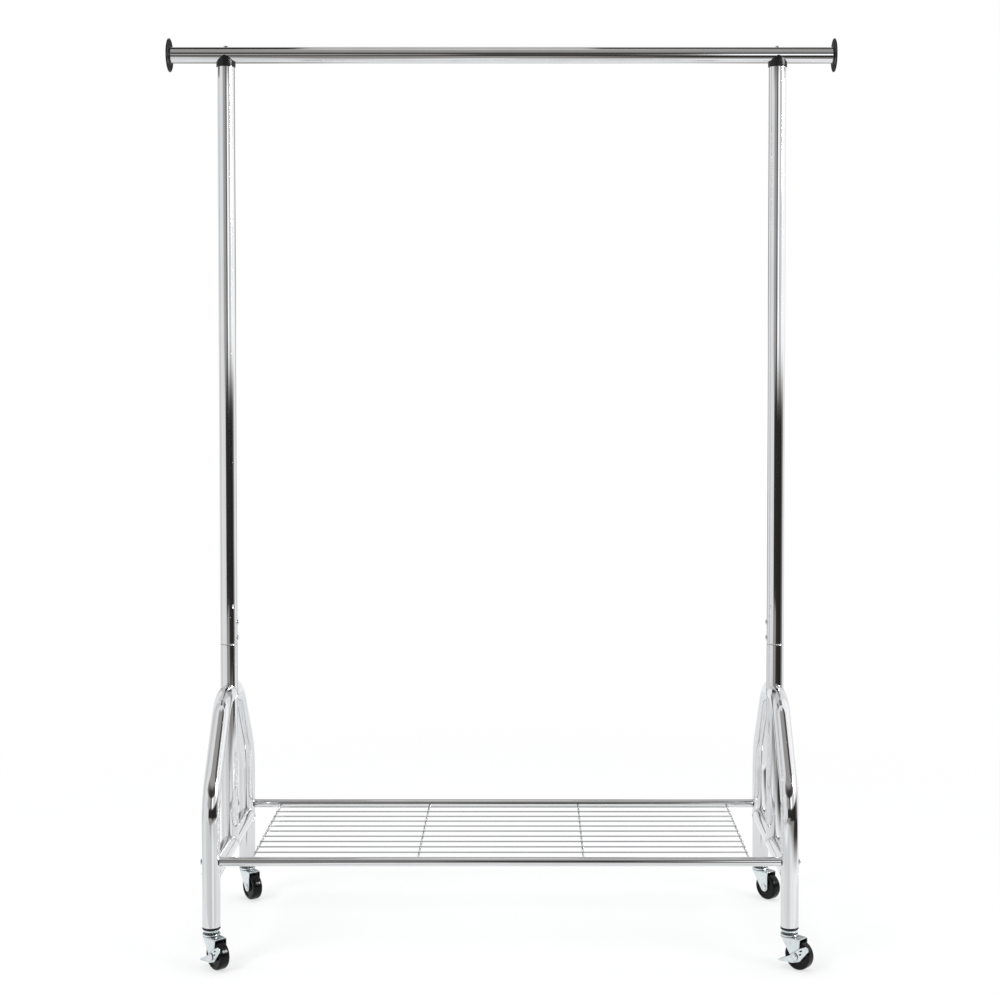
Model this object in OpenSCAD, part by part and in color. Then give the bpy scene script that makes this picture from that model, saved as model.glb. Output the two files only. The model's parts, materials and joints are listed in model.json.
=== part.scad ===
// Rolling clothes rack: a round hang bar on two posts, two bent-tube end frames,
// a wire shelf between them and four swivel casters, the front pair with brakes.
// Millimetres. X runs along the hang bar, Y from front (-) to rear (+), Z up.
// The origin is on the floor, under the middle of the rack.

/* [Hang bar] */
// Length of the hang bar tube
bar_length = 1219; // [1100:1:1400]
// Outside diameter of the hang bar
bar_d = 30; // [26:0.5:34]
// Wall of the hang bar tube
bar_wall = 1.2; // [0.8:0.1:2]
// Height of the hang bar's axis above the floor
bar_axis_z = 1628; // [1300:1:1900]
// Diameter of the round end flanges
flange_d = 62; // [45:1:80]
// Thickness of an end flange
flange_t = 3; // [2:0.1:5]
// Diameter of the small boss that the tube end butts against
flange_boss_d = 33; // [31:0.5:38]
// Thickness of that boss
flange_boss_t = 2; // [1:0.5:4]
// Depth of the flange's plug in the tube
flange_plug_depth = 22; // [12:1:30]

/* [Saddles] */
// Diameter of the plastic saddle between a post and the hang bar
saddle_d = 35.2; // [34:0.2:40]
// How far the saddle's lower rim lies under the hang bar's axis
saddle_drop = 22; // [20:0.5:28]
// Height of the saddle's straight collar
saddle_collar_h = 8; // [5:0.5:10]
// How far the tip of a cheek lies under the hang bar's axis
saddle_peak_drop = 1.3; // [0:0.1:4]
// Radius of the tip of a cheek
saddle_peak_r = 4.5; // [3:0.5:6]
// Depth of the saddle's plug in the post
saddle_plug_depth = 18; // [12:1:25]
// Thickness of the steel nut plate under the plug
top_insert_t = 6; // [4:0.5:10]
// Diameter of the bolt through bar and saddle
top_bolt_d = 6; // [5:0.5:7]
// Diameter of its pan head
top_bolt_head_d = 9; // [8:0.5:12]
// Height of its head above the bar
top_bolt_head_h = 2.4; // [1.5:0.1:4]

/* [Posts] */
// Distance between the axes of the two posts
post_span = 1018; // [900:1:1050]
// Outside diameter of the posts, legs and cross bars
frame_d = 32; // [30:0.5:33]
// Wall of those tubes
frame_wall = 1.2; // [0.8:0.1:1.6]
// Height of the joint between the lower and the upper post
joint_z = 537.5; // [515:0.5:650]
// Width of the groove that shows at the joint
joint_gap = 0.8; // [0.4:0.1:2]
// Wall of the connector sleeve inside the joint
sleeve_wall = 1.5; // [1:0.1:2.5]
// Length of the sleeve under the joint
sleeve_below = 50; // [30:1:60]
// Length of the sleeve above the joint
sleeve_above = 95; // [85:1:120]
// Height of the lower sleeve screw above the joint
screw_rise = 11.2; // [10:0.2:20]
// Distance between the two sleeve screws
screw_pitch = 29; // [20:1:40]
// Height of the locating dimple above the joint
dimple_rise = 71.5; // [66:0.5:80]
// Diameter of the sleeve screws
screw_d = 4; // [3:0.5:5]
// Diameter of their pan heads
screw_head_d = 9; // [7:0.5:11]
// Height of their pan heads
screw_head_h = 2.6; // [1.5:0.1:4]

/* [End frames] */
// Distance between the axes of a front and a rear leg
leg_depth = 394; // [350:1:440]
// Height of the legs' level run where they meet the post
arch_z = 446; // [420:1:470]
// Distance from the post's axis to the corner of the shoulder bend
shoulder_corner = 66.6; // [58:0.2:76]
// Bend radius of the shoulder, on the tube's axis
shoulder_r = 80; // [50:1:90]
// Slope of the straight run under the shoulder, from level
leg_slope = 49; // [44:0.5:52]
// Bend radius of the knee, on the tube's axis
knee_r = 60; // [45:1:80]
// Height of the cross bar's axis
cross_bar_z = 163; // [135:1:168]

/* [Shelf] */
// Outside diameter of the shelf rails
rail_d = 16; // [14:0.5:19]
// Wall of the shelf rails
rail_wall = 1.2; // [0.8:0.1:1.6]
// Height of the rails' axes
rail_z = 185.5; // [175:0.5:230]
// Length of the threaded insert in a rail's end
rail_insert_length = 24; // [18:1:40]
// Diameter of the rail bolts
rail_bolt_d = 6; // [5:0.5:7]
// Diameter of their heads
rail_bolt_head_d = 9.6; // [8:0.2:12]
// Height of their heads
rail_bolt_head_h = 3.4; // [2:0.1:5]
// Number of long shelf wires
long_wire_count = 11; // [7:1:11]
// Distance between long shelf wires
long_wire_pitch = 34.3; // [26:0.1:35]
// Diameter of the long shelf wires
long_wire_d = 3; // [2.5:0.1:4]
// Number of cross wires under them
cross_wire_count = 4; // [3:1:6]
// Distance between the two outermost cross wires
cross_wire_span = 882; // [820:1:890]
// Diameter of the cross wires
cross_wire_d = 4; // [3:0.1:5]
// How far the cross wires lie under the rails' axes
cross_wire_drop = 4; // [0:0.1:5]
// How far the long wires reach past the outermost cross wires
long_wire_overhang = 3; // [2.5:0.5:6]

/* [Casters] */
// Diameter of the wheels
wheel_d = 50.8; // [46:0.2:56]
// Width of the tread
wheel_w = 20; // [17:0.5:21]
// Radius of the tread's shoulders
wheel_shoulder_r = 5; // [3:0.5:6]
// Distance from the swivel axis back to the axle
trail = 21; // [18:0.5:24]
// Clear width inside the fork
fork_gap = 22.4; // [22:0.1:25]
// Thickness of the fork's sheet steel
fork_t = 1.6; // [1.2:0.1:2]
// Radius of the fork's end around the axle
fork_end_r = 8.5; // [7.5:0.5:10]
// Height of the fork's roof above the wheel
fork_headroom = 3.6; // [2:0.1:5]
// Diameter of the swivel's ball race
race_d = 32; // [30:0.5:36]
// Height of the ball race on top of the fork
race_h = 3; // [2.6:0.1:3.2]
// Diameter of the swivel's balls
ball_d = 3.4; // [3:0.1:3.8]
// Number of balls in a swivel
ball_count = 16; // [8:1:18]
// Diameter of the neck inside the ring of balls
neck_d = 17; // [14:0.5:18]
// Diameter of the zinc collar under the socket
collar_d = 28.5; // [26:0.5:31]
// Height of that collar
collar_h = 4; // [2:0.1:5]
// Diameter of the stem in its socket
stem_d = 11; // [9:0.5:12]
// Length of the stem above its collar
stem_length = 38; // [28:1:50]
// Thickness of the socket's flange under the leg
socket_flange_t = 4; // [2:0.1:5]
// Depth of the socket in the leg
socket_depth = 42; // [40:1:60]
// Diameter of the axle bolt
axle_d = 6; // [5:0.5:7]
// Outside diameter of the bush that the wheel turns on
bush_d = 10; // [9:0.5:11]
// Diameter of the axle's domed head
axle_head_d = 12; // [10:0.5:14]
// Height of the axle's domed head
axle_head_h = 2.6; // [2:0.1:4]
// Turn of the front left caster about its stem, from the +X side towards the front
front_left_turn = 48; // [0:1:90]
// Turn of the front right caster
front_right_turn = 43; // [0:1:90]
// Turn of the rear left caster
rear_left_turn = 53; // [0:1:90]
// Turn of the rear right caster
rear_right_turn = 50; // [0:1:90]

/* [Brake levers] */
// Thickness of a lever's sheet steel
lever_t = 1.6; // [1.2:0.1:2.4]
// Length of the lever's upper arm, from the axle back to the centre of its round end
lever_arm = 23; // [19:0.5:27]
// Rise of the upper arm's end above the axle
lever_arm_rise = 16.5; // [13:0.5:19]
// Radius of the upper arm's round end
lever_arm_r = 5.2; // [4:0.2:6.4]
// Reach of the pedal's tip in front of the axle
pedal_reach = 36; // [33:0.5:40]
// Drop of the pedal's tip under the axle
pedal_drop = 13; // [11:0.5:15]
// Length of the pedal along the lever's upper edge
pedal_length = 9; // [6:0.5:10]
// Width of the pedal, inwards from the lever
pedal_width = 15; // [8:0.5:16]
// Width of the two slots in the upper arm
lever_slot_w = 2.6; // [1.6:0.2:3]

/* [Hidden] */
$fn = 64;
// Clearances
weld_gap = 0.05;
plug_gap = 0.1;
thread_gap = 0.02;
bolt_gap = 0.2;
running_gap = 0.06;
side_gap = 0.3;
weld_sink = 0.4;
// At a cope the tube's end is square this far from the other tube's axis
cope_trim = 5;
// Straight tube runs reach this far into their bends, and are this much slimmer
run_lap = 0.5;
run_slack = 0.15;
cut = 1;

bar_r = bar_d / 2;
frame_r = frame_d / 2;
frame_bore_r = frame_r - frame_wall;
rail_r = rail_d / 2;
post_x = post_span / 2;
leg_y = leg_depth / 2;
post_top_z = bar_axis_z - saddle_drop;

// Leg path, in the plane of an end frame: corners, tangent lengths and bend ends
shoulder_tangent = shoulder_r * tan(leg_slope / 2);
knee_tangent = knee_r * tan((90 - leg_slope) / 2);
shoulder_start = shoulder_corner - shoulder_tangent;
knee_corner_z = arch_z - (leg_y - shoulder_corner) * tan(leg_slope);
knee_end_z = knee_corner_z - knee_tangent;
slope_length = (leg_y - shoulder_corner) / cos(leg_slope) - shoulder_tangent - knee_tangent;

// Connector sleeve and the nut plate at a post's top
sleeve_r = frame_bore_r - plug_gap;
saddle_plug_r = frame_bore_r - plug_gap;
top_insert_z = post_top_z - saddle_plug_depth - plug_gap - top_insert_t;
dimple_ball_r = 6;
dimple_depth = 0.6;

// Caster socket: its radius inside the leg's slimmer straight run
socket_r = frame_bore_r - run_slack - plug_gap;

// Caster heights, from the floor up
axle_z = wheel_d / 2;
fork_under_z = wheel_d + fork_headroom;
fork_top_z = fork_under_z + fork_t;
ball_lift = 0.3;
race_top_z = fork_top_z + race_h;
collar_z = race_top_z + ball_d + 2 * ball_lift;
stem_z = collar_z + collar_h;
leg_bottom_z = stem_z + socket_flange_t;

// Swivel: pitch circle of the balls, and the kingpin
ball_pitch_r = 11.4;
kingpin_r = 3.5;
kingpin_head_r = 5.5;
kingpin_head_h = 2.4;

// Wheel and axle
bush_r = bush_d / 2;
axle_r = axle_d / 2;
hub_side_gap = 0.5;
hub_r = 9.5;
dish_r = wheel_d / 2 - 6.5;
dish_depth = 2;
fork_face_y = fork_gap / 2 + fork_t;
nut_h = 4;
nut_flats = 10;
fork_front_x = 11;

// Brake lever: its plane, outwards from the fork's side, and its outline around the axle
lever_y = fork_face_y + side_gap;
lever_hub_r = 10.7;
lever_edge_angle = atan2(pedal_drop, pedal_reach - lever_hub_r);

// Shelf wires
cross_wire_z = rail_z - cross_wire_drop;
long_wire_z = cross_wire_z + (cross_wire_d + long_wire_d) / 2 - weld_sink;
cross_wire_pitch = cross_wire_span / (cross_wire_count - 1);

// Places: index 0 front left, 1 front right, 2 rear left, 3 rear right
SIDE_X = [-1, 1, -1, 1];
SIDE_Y = [-1, -1, 1, 1];
TURN = [front_left_turn, front_right_turn, rear_left_turn, rear_right_turn];

// ---------- helpers ----------

// A cylinder along X, centred on the origin
module rod_x(length, r) {
    rotate([0, 90, 0]) cylinder(h = length, r = r, center = true);
}

// A cylinder along Y, centred on the origin
module rod_y(length, r) {
    rotate([90, 0, 0]) cylinder(h = length, r = r, center = true);
}

// A strip with round ends from point p to point q
module strip(p, q, r) {
    way = atan2(q[1] - p[1], q[0] - p[0]);
    polygon([for (a = [-90:22.5:90]) q + r * [cos(way + a), sin(way + a)],
             for (a = [90:22.5:270]) p + r * [cos(way + a), sin(way + a)]]);
}

// A pan head on the XY plane, its rim rounded off by a sphere
module pan_head(d, h) {
    dome_r = (d * d / 4 + h * h) / (2 * h) * 1.15;
    intersection() {
        cylinder(h = h, d = d);
        translate([0, 0, h - dome_r]) sphere(r = dome_r);
    }
}

// A cross recess, cut into a pan head's top
module cross_recess(size, depth) {
    for (turn = [0, 90])
        rotate(turn) translate([-size / 2, -size / 8, -depth]) cube([size, size / 4, depth + cut]);
}

// Moves a piece from the swivel axis to the place and turn of caster i
module at_caster(i) {
    translate([SIDE_X[i] * post_x, SIDE_Y[i] * leg_y, 0]) rotate([0, 0, -TURN[i]]) children();
}

// ---------- hang bar ----------

module hang_bar() {
    color("silver") translate([0, 0, bar_axis_z]) difference() {
        rod_x(bar_length, bar_r);
        rod_x(bar_length + 2 * cut, bar_r - bar_wall);
        for (x = [-post_x, post_x])
            translate([x, 0, 0]) cylinder(h = bar_d + 2 * cut, r = top_bolt_d / 2 + bolt_gap, center = true);
    }
}

// The bolts through the bar and the saddles, down into the nut plates
module hang_bar_bolts() {
    shank = bar_axis_z + bar_r - top_insert_z + 4;
    for (x = [-post_x, post_x])
        color("silver") translate([x, 0, bar_axis_z]) difference() {
            union() {
                translate([0, 0, bar_r - cut]) pan_head(top_bolt_head_d, top_bolt_head_h + cut);
                translate([0, 0, bar_r - shank]) cylinder(h = shank, d = top_bolt_d);
            }
            difference() {
                rod_x(2 * top_bolt_head_d, bar_r + weld_gap);
                cylinder(h = 3 * bar_d, d = top_bolt_d, center = true);
            }
            translate([0, 0, bar_r + top_bolt_head_h]) cross_recess(top_bolt_head_d / 2, 1.2);
        }
}

// A round end flange with a rounded rim, a boss and a hollow plug
module end_flange(side) {
    plug_r = bar_r - bar_wall - plug_gap;
    color("dimgray") translate([side * bar_length / 2, 0, bar_axis_z]) rotate([0, side * 90, 0])
        difference() {
            union() {
                translate([0, 0, flange_boss_t]) rotate_extrude() {
                    square([(flange_d - flange_t) / 2, flange_t]);
                    translate([(flange_d - flange_t) / 2, flange_t / 2]) circle(d = flange_t);
                }
                cylinder(h = flange_boss_t + flange_t / 2, d = flange_boss_d);
                translate([0, 0, -flange_plug_depth]) cylinder(h = flange_plug_depth + cut, r = plug_r);
            }
            translate([0, 0, -flange_plug_depth - cut])
                cylinder(h = flange_plug_depth + cut, r = plug_r - 2);
        }
}

// ---------- saddles ----------

// Outline of a saddle seen from the front, with a rounded peak; height 0 is the bar's axis
module saddle_outline() {
    half = saddle_d / 2;
    eave = saddle_collar_h - saddle_drop;
    peak_z = -saddle_peak_drop - saddle_peak_r;
    reach = norm([half, peak_z - eave]);
    lean = atan2(peak_z - eave, half) + asin(saddle_peak_r / reach);
    wide = half + cut;
    wide_eave = eave - cut * tan(lean);
    polygon([[-wide, -saddle_drop - cut], [wide, -saddle_drop - cut], [wide, wide_eave],
             for (n = [4:-1:-4]) [0, peak_z] + saddle_peak_r * [sin(n * lean / 4), cos(n * lean / 4)],
             [-wide, wide_eave]]);
}

// A plastic saddle: a plug in the post, a collar, and cheeks around the bar's lower half
module saddle(side) {
    color("dimgray") translate([side * post_x, 0, bar_axis_z]) difference() {
        union() {
            intersection() {
                translate([0, 0, -saddle_drop]) cylinder(h = saddle_drop, d = saddle_d);
                rotate([90, 0, 0]) linear_extrude(height = saddle_d, center = true) saddle_outline();
            }
            translate([0, 0, -saddle_drop - saddle_plug_depth])
                cylinder(h = saddle_plug_depth + cut, r = saddle_plug_r);
        }
        rod_x(2 * saddle_d, bar_r + weld_gap);
        translate([0, 0, -saddle_drop - saddle_plug_depth - cut])
            cylinder(h = saddle_drop + saddle_plug_depth, r = top_bolt_d / 2 + bolt_gap);
    }
}

// Steel nut plates fixed in the posts' tops
module post_top_inserts() {
    for (x = [-post_x, post_x])
        color("slategray") translate([x, 0, top_insert_z]) difference() {
            cylinder(h = top_insert_t, r = frame_bore_r - thread_gap);
            translate([0, 0, -cut]) cylinder(h = top_insert_t + 2 * cut, r = top_bolt_d / 2 + thread_gap);
        }
}

// ---------- posts ----------

// Bores for the two sleeve screws, on the post's inner side
module screw_bores(side, r) {
    for (n = [0, 1])
        translate([-side * frame_r / 2, 0, joint_z + screw_rise + n * screw_pitch])
            rod_x(frame_r * 1.2, r);
}

module upper_post(side) {
    bottom = joint_z + joint_gap / 2;
    color("silver") translate([side * post_x, 0, 0]) difference() {
        translate([0, 0, bottom]) cylinder(h = post_top_z - bottom, r = frame_r);
        translate([0, 0, bottom - cut]) cylinder(h = post_top_z - bottom + 2 * cut, r = frame_bore_r);
        screw_bores(side, screw_d / 2 + plug_gap);
        // Locating dimple, on the front of the inner side
        rotate([0, 0, side * 50 + (side > 0 ? 180 : 0)])
            translate([frame_r + dimple_ball_r - dimple_depth, 0, joint_z + dimple_rise])
                sphere(r = dimple_ball_r);
    }
}

// The connector sleeve inside the joint
module post_sleeve(side) {
    length = sleeve_below + sleeve_above;
    color("lightgray") translate([side * post_x, 0, 0]) difference() {
        translate([0, 0, joint_z - sleeve_below]) cylinder(h = length, r = sleeve_r);
        translate([0, 0, joint_z - sleeve_below - cut])
            cylinder(h = length + 2 * cut, r = sleeve_r - sleeve_wall);
        screw_bores(side, screw_d / 2 + thread_gap);
    }
}

// Pan-head screws through the upper posts into the sleeves
module post_screws() {
    tip = 4;
    for (side = [-1, 1])
        for (n = [0, 1])
            color("lightgray")
                translate([side * post_x, 0, joint_z + screw_rise + n * screw_pitch])
                    rotate([0, side * -90, 0]) difference() {
                        union() {
                            translate([0, 0, frame_r - cut]) pan_head(screw_head_d, screw_head_h + cut);
                            translate([0, 0, sleeve_r - sleeve_wall - tip])
                                cylinder(h = tip + sleeve_wall + plug_gap + frame_wall + cut, d = screw_d);
                        }
                        difference() {
                            rotate([0, 90, 0])
                                cylinder(h = 2 * screw_head_d, r = frame_r + weld_gap, center = true);
                            cylinder(h = frame_d, d = screw_d);
                        }
                        translate([0, 0, frame_r + screw_head_h]) cross_recess(screw_head_d / 2, 1.2);
                    }
}

// The lower post, from the joint down to its cope on the cross bar
module lower_post(side) {
    top = joint_z - joint_gap / 2;
    color("silver") translate([side * post_x, 0, 0]) difference() {
        translate([0, 0, cross_bar_z + cope_trim])
            cylinder(h = top - cross_bar_z - cope_trim, r = frame_r);
        translate([0, 0, cross_bar_z - cut]) cylinder(h = top - cross_bar_z + 2 * cut, r = frame_bore_r);
        translate([0, 0, cross_bar_z]) rod_y(2 * frame_d, frame_r + weld_gap);
    }
}

// ---------- end frames ----------

// The leg's path as a solid of radius r, with both ends longer by extra
module leg_run(r, extra = 0) {
    straight_r = r - run_slack;
    translate([0, cope_trim - extra, arch_z]) rotate([-90, 0, 0])
        cylinder(h = shoulder_start - cope_trim + extra + run_lap, r = straight_r);
    translate([0, shoulder_start, arch_z - shoulder_r]) rotate([90, 0, 90]) rotate(90 - leg_slope)
        rotate_extrude(angle = leg_slope) translate([shoulder_r, 0]) circle(r = r);
    translate([0, shoulder_corner, arch_z]) rotate([-90 - leg_slope, 0, 0])
        translate([0, 0, shoulder_tangent - run_lap])
            cylinder(h = slope_length + 2 * run_lap, r = straight_r);
    translate([0, leg_y - knee_r, knee_end_z]) rotate([90, 0, 90])
        rotate_extrude(angle = 90 - leg_slope) translate([knee_r, 0]) circle(r = r);
    translate([0, leg_y, leg_bottom_z - extra])
        cylinder(h = knee_end_z - leg_bottom_z + extra + run_lap, r = straight_r);
}

// A leg: a tube coped to the post at its top and drilled for the rail bolt
module leg(i) {
    color("silver") translate([SIDE_X[i] * post_x, 0, 0]) mirror([0, SIDE_Y[i] < 0 ? 1 : 0, 0])
        difference() {
            leg_run(frame_r);
            leg_run(frame_bore_r, cut);
            translate([0, 0, arch_z]) cylinder(h = 2 * frame_d, r = frame_r + weld_gap, center = true);
            translate([0, leg_y, rail_z]) rod_x(2 * frame_d, rail_bolt_d / 2 + bolt_gap);
        }
}

// The cross bar between a front and a rear leg, coped at both ends
module cross_bar(side) {
    color("silver") translate([side * post_x, 0, cross_bar_z]) difference() {
        rod_y(leg_depth - 2 * cope_trim, frame_r);
        rod_y(leg_depth, frame_bore_r);
        for (y = [-leg_y, leg_y])
            translate([0, y, 0]) cylinder(h = 2 * frame_d, r = frame_r + weld_gap, center = true);
    }
}

// ---------- shelf ----------

// A shelf rail between two legs, coped at both ends
module rail(side_y) {
    color("silver") translate([0, side_y * leg_y, rail_z]) difference() {
        rod_x(post_span - frame_r, rail_r);
        rod_x(post_span, rail_r - rail_wall);
        for (x = [-post_x, post_x])
            translate([x, 0, 0]) cylinder(h = 2 * frame_d, r = frame_r + weld_gap, center = true);
    }
}

// Threaded inserts in the rails' ends
module rail_end_inserts() {
    for (i = [0:3])
        color("slategray")
            translate([SIDE_X[i] * (post_x - frame_r - side_gap - rail_insert_length / 2),
                       SIDE_Y[i] * leg_y, rail_z])
                difference() {
                    rod_x(rail_insert_length, rail_r - rail_wall - thread_gap);
                    rod_x(rail_insert_length + 2 * cut, rail_bolt_d / 2 + thread_gap);
                }
}

// Bolts from the legs' outer sides through to the rails' inserts
module rail_bolts() {
    shank = frame_d + side_gap + rail_insert_length * 0.8;
    for (i = [0:3])
        color("lightgray") translate([SIDE_X[i] * post_x, SIDE_Y[i] * leg_y, rail_z])
            rotate([0, SIDE_X[i] * 90, 0]) difference() {
                union() {
                    translate([0, 0, frame_r - cut]) pan_head(rail_bolt_head_d, rail_bolt_head_h + cut);
                    translate([0, 0, frame_r - shank]) cylinder(h = shank, d = rail_bolt_d);
                }
                difference() {
                    rotate([0, 90, 0])
                        cylinder(h = 2 * rail_bolt_head_d, r = frame_r + weld_gap, center = true);
                    cylinder(h = 4 * frame_d, d = rail_bolt_d, center = true);
                }
                translate([0, 0, frame_r + rail_bolt_head_h]) cross_recess(rail_bolt_head_d / 2, 1.4);
            }
}

module shelf_long_wires() {
    for (n = [0:long_wire_count - 1])
        color("silver") translate([0, (n - (long_wire_count - 1) / 2) * long_wire_pitch, long_wire_z])
            rod_x(cross_wire_span + cross_wire_d + 2 * long_wire_overhang, long_wire_d / 2);
}

// The cross wires under the long ones, each end coped to a rail
module shelf_cross_wires() {
    for (n = [0:cross_wire_count - 1])
        color("silver") translate([(n - (cross_wire_count - 1) / 2) * cross_wire_pitch, 0, 0])
            difference() {
                translate([0, 0, cross_wire_z]) rod_y(leg_depth, cross_wire_d / 2);
                for (y = [-leg_y, leg_y])
                    translate([0, y, rail_z]) rod_x(3 * cross_wire_d, rail_r + weld_gap);
            }
}

// ---------- casters ----------

// Plastic sockets in the legs' lower ends, with a flange under the tube
module caster_sockets() {
    for (i = [0:3])
        color("dimgray") at_caster(i) difference() {
            union() {
                translate([0, 0, stem_z]) cylinder(h = socket_flange_t, r = frame_r);
                translate([0, 0, stem_z])
                    cylinder(h = socket_flange_t + socket_depth, r = socket_r);
            }
            translate([0, 0, stem_z - cut]) cylinder(h = stem_length + 2 * cut, r = stem_d / 2 + thread_gap);
        }
}

// A caster's fixed half: stem, collar, neck over the balls, and the kingpin with its riveted end
module caster_stems() {
    for (i = [0:3])
        color("lightsteelblue") at_caster(i) {
            translate([0, 0, stem_z - cut]) cylinder(h = stem_length + cut, d = stem_d);
            translate([0, 0, collar_z]) cylinder(h = collar_h, d = collar_d);
            translate([0, 0, race_top_z + side_gap])
                cylinder(h = collar_z - race_top_z - side_gap + cut, d = neck_d);
            translate([0, 0, fork_under_z - side_gap - kingpin_head_h / 2])
                cylinder(h = race_top_z - fork_under_z + 2 * side_gap + kingpin_head_h, r = kingpin_r);
            translate([0, 0, fork_under_z - side_gap - kingpin_head_h])
                cylinder(h = kingpin_head_h, r = kingpin_head_r);
        }
}

// Side of a fork, drawn with X backwards from the swivel axis and Y up
module fork_side() {
    back = trail + fork_end_r;
    front_top = [-fork_front_x, fork_top_z];
    axle = [trail, axle_z];
    run = axle - front_top;
    lean = atan2(run[1], run[0]) - asin(fork_end_r / norm(run));
    touch = axle + fork_end_r * [sin(lean), -cos(lean)];
    polygon([front_top, [back, fork_top_z], [back, axle_z], axle, touch]);
    translate(axle) circle(r = fork_end_r);
}

// A pressed-steel fork: a roof with the ball race on it, and two sides down to the axle
module fork(i) {
    color("lightsteelblue") at_caster(i) difference() {
        union() {
            translate([0, 0, fork_under_z]) linear_extrude(height = fork_t) {
                circle(d = race_d);
                translate([0, -fork_face_y]) square([trail + fork_end_r, 2 * fork_face_y]);
            }
            for (side = [-1, 1])
                translate([0, side * (fork_gap + fork_t) / 2, 0]) rotate([90, 0, 0])
                    linear_extrude(height = fork_t, center = true) fork_side();
            translate([0, 0, fork_top_z]) cylinder(h = race_h, d = race_d);
        }
        translate([0, 0, fork_under_z - cut])
            cylinder(h = fork_t + race_h + 2 * cut, r = kingpin_r + running_gap);
        translate([trail, 0, axle_z]) rod_y(4 * fork_gap, axle_r + thread_gap);
    }
}

// The balls between a fork's race and the stem's collar
module swivel_balls(i) {
    color("gainsboro") at_caster(i)
        for (n = [0:ball_count - 1])
            rotate(n * 360 / ball_count)
                translate([ball_pitch_r, 0, race_top_z + ball_lift + ball_d / 2])
                    sphere(d = ball_d, $fn = 32);
}

// The axle bolt with its domed head on the front side and its nut on the other
module axle(i) {
    braked = SIDE_Y[i] < 0;
    head_y = braked ? lever_y + lever_t + side_gap : fork_face_y;
    color("lightsteelblue") at_caster(i) translate([trail, 0, axle_z]) {
        translate([0, -head_y, 0]) rotate([90, 0, 0]) pan_head(axle_head_d, axle_head_h);
        translate([0, (fork_face_y + nut_h + 1 - head_y - cut / 2) / 2, 0])
            rod_y(fork_face_y + nut_h + 1 + head_y + cut / 2, axle_r);
        translate([0, fork_face_y, 0]) rotate([-90, 0, 0])
            cylinder(h = nut_h, d = nut_flats / cos(30), $fn = 6);
    }
}

// The bush that the wheel turns on, clamped between the fork's sides
module bush(i) {
    color("slategray") at_caster(i) translate([trail, 0, axle_z]) difference() {
        rod_y(fork_gap, bush_r);
        rod_y(fork_gap + 2 * cut, axle_r + thread_gap);
    }
}

// Half section of the wheel: radius along X, width along Y
module wheel_section() {
    tread_r = wheel_d / 2;
    half = wheel_w / 2;
    bore_r = bush_r + running_gap;
    hub_half = fork_gap / 2 - hub_side_gap;
    translate([bore_r, -hub_half]) square([hub_r - bore_r, 2 * hub_half]);
    translate([bore_r, -half + dish_depth]) square([dish_r - bore_r + cut, 2 * (half - dish_depth)]);
    translate([dish_r, -half]) square([tread_r - wheel_shoulder_r - dish_r, wheel_w]);
    translate([dish_r, wheel_shoulder_r - half])
        square([tread_r - dish_r, wheel_w - 2 * wheel_shoulder_r]);
    for (side = [-1, 1])
        translate([tread_r - wheel_shoulder_r, side * (half - wheel_shoulder_r)])
            circle(r = wheel_shoulder_r);
}

module wheel(i) {
    color("dimgray") at_caster(i) translate([trail, 0, axle_z]) rotate([90, 0, 0])
        rotate_extrude() wheel_section();
}

// Outline of a brake lever around its axle, with X backwards and Y up
module lever_outline() {
    arm = [lever_arm, lever_arm_rise];
    tip = [-pedal_reach, -pedal_drop];
    tip_cut = (lever_t + 0.4) * [sin(lever_edge_angle), -cos(lever_edge_angle)];
    polygon([tip, [-lever_hub_r, 0], [9.6, 15.5],
             for (a = [120:-20:-40]) arm + lever_arm_r * [cos(a), sin(a)],
             [9.7, -7.2], [-5.5, -12.2], tip + tip_cut]);
}

// A brake lever on the axle, outside the fork: an upper arm with two slots, and the pedal
module brake_lever(i) {
    color("lightsteelblue") at_caster(i) translate([trail, -lever_y, axle_z]) {
        rotate([90, 0, 0]) linear_extrude(height = lever_t) difference() {
            lever_outline();
            circle(r = axle_r + running_gap);
            for (slot = [[9.5, 5], [11, 11.5]])
                strip(slot, slot + [3, 1.5], lever_slot_w / 2);
        }
        // The pedal: a shelf bent inwards along the front of the upper edge
        translate([-pedal_reach, -lever_t / 2, -pedal_drop]) rotate([0, -lever_edge_angle, 0])
            translate([0.3, 0, -lever_t - 0.2]) cube([pedal_length, pedal_width, lever_t]);
    }
}

// ---------- nodes ----------

hang_bar();
hang_bar_bolts();
end_flange(-1);  // left_end_flange
end_flange(1);  // right_end_flange
saddle(-1);  // left_saddle
saddle(1);  // right_saddle
post_top_inserts();
upper_post(-1);  // left_upper_post
upper_post(1);  // right_upper_post
post_sleeve(-1);  // left_post_sleeve
post_sleeve(1);  // right_post_sleeve
post_screws();
lower_post(-1);  // left_lower_post
lower_post(1);  // right_lower_post
leg(0);  // front_left_leg
leg(1);  // front_right_leg
leg(2);  // rear_left_leg
leg(3);  // rear_right_leg
cross_bar(-1);  // left_cross_bar
cross_bar(1);  // right_cross_bar
rail(-1);  // front_rail
rail(1);  // rear_rail
rail_end_inserts();
rail_bolts();
shelf_long_wires();
shelf_cross_wires();
caster_sockets();
caster_stems();
fork(0);  // front_left_fork
fork(1);  // front_right_fork
fork(2);  // rear_left_fork
fork(3);  // rear_right_fork
swivel_balls(0);  // front_left_balls
swivel_balls(1);  // front_right_balls
swivel_balls(2);  // rear_left_balls
swivel_balls(3);  // rear_right_balls
axle(0);  // front_left_axle
axle(1);  // front_right_axle
axle(2);  // rear_left_axle
axle(3);  // rear_right_axle
bush(0);  // front_left_bush
bush(1);  // front_right_bush
bush(2);  // rear_left_bush
bush(3);  // rear_right_bush
wheel(0);  // front_left_wheel
wheel(1);  // front_right_wheel
wheel(2);  // rear_left_wheel
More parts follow.
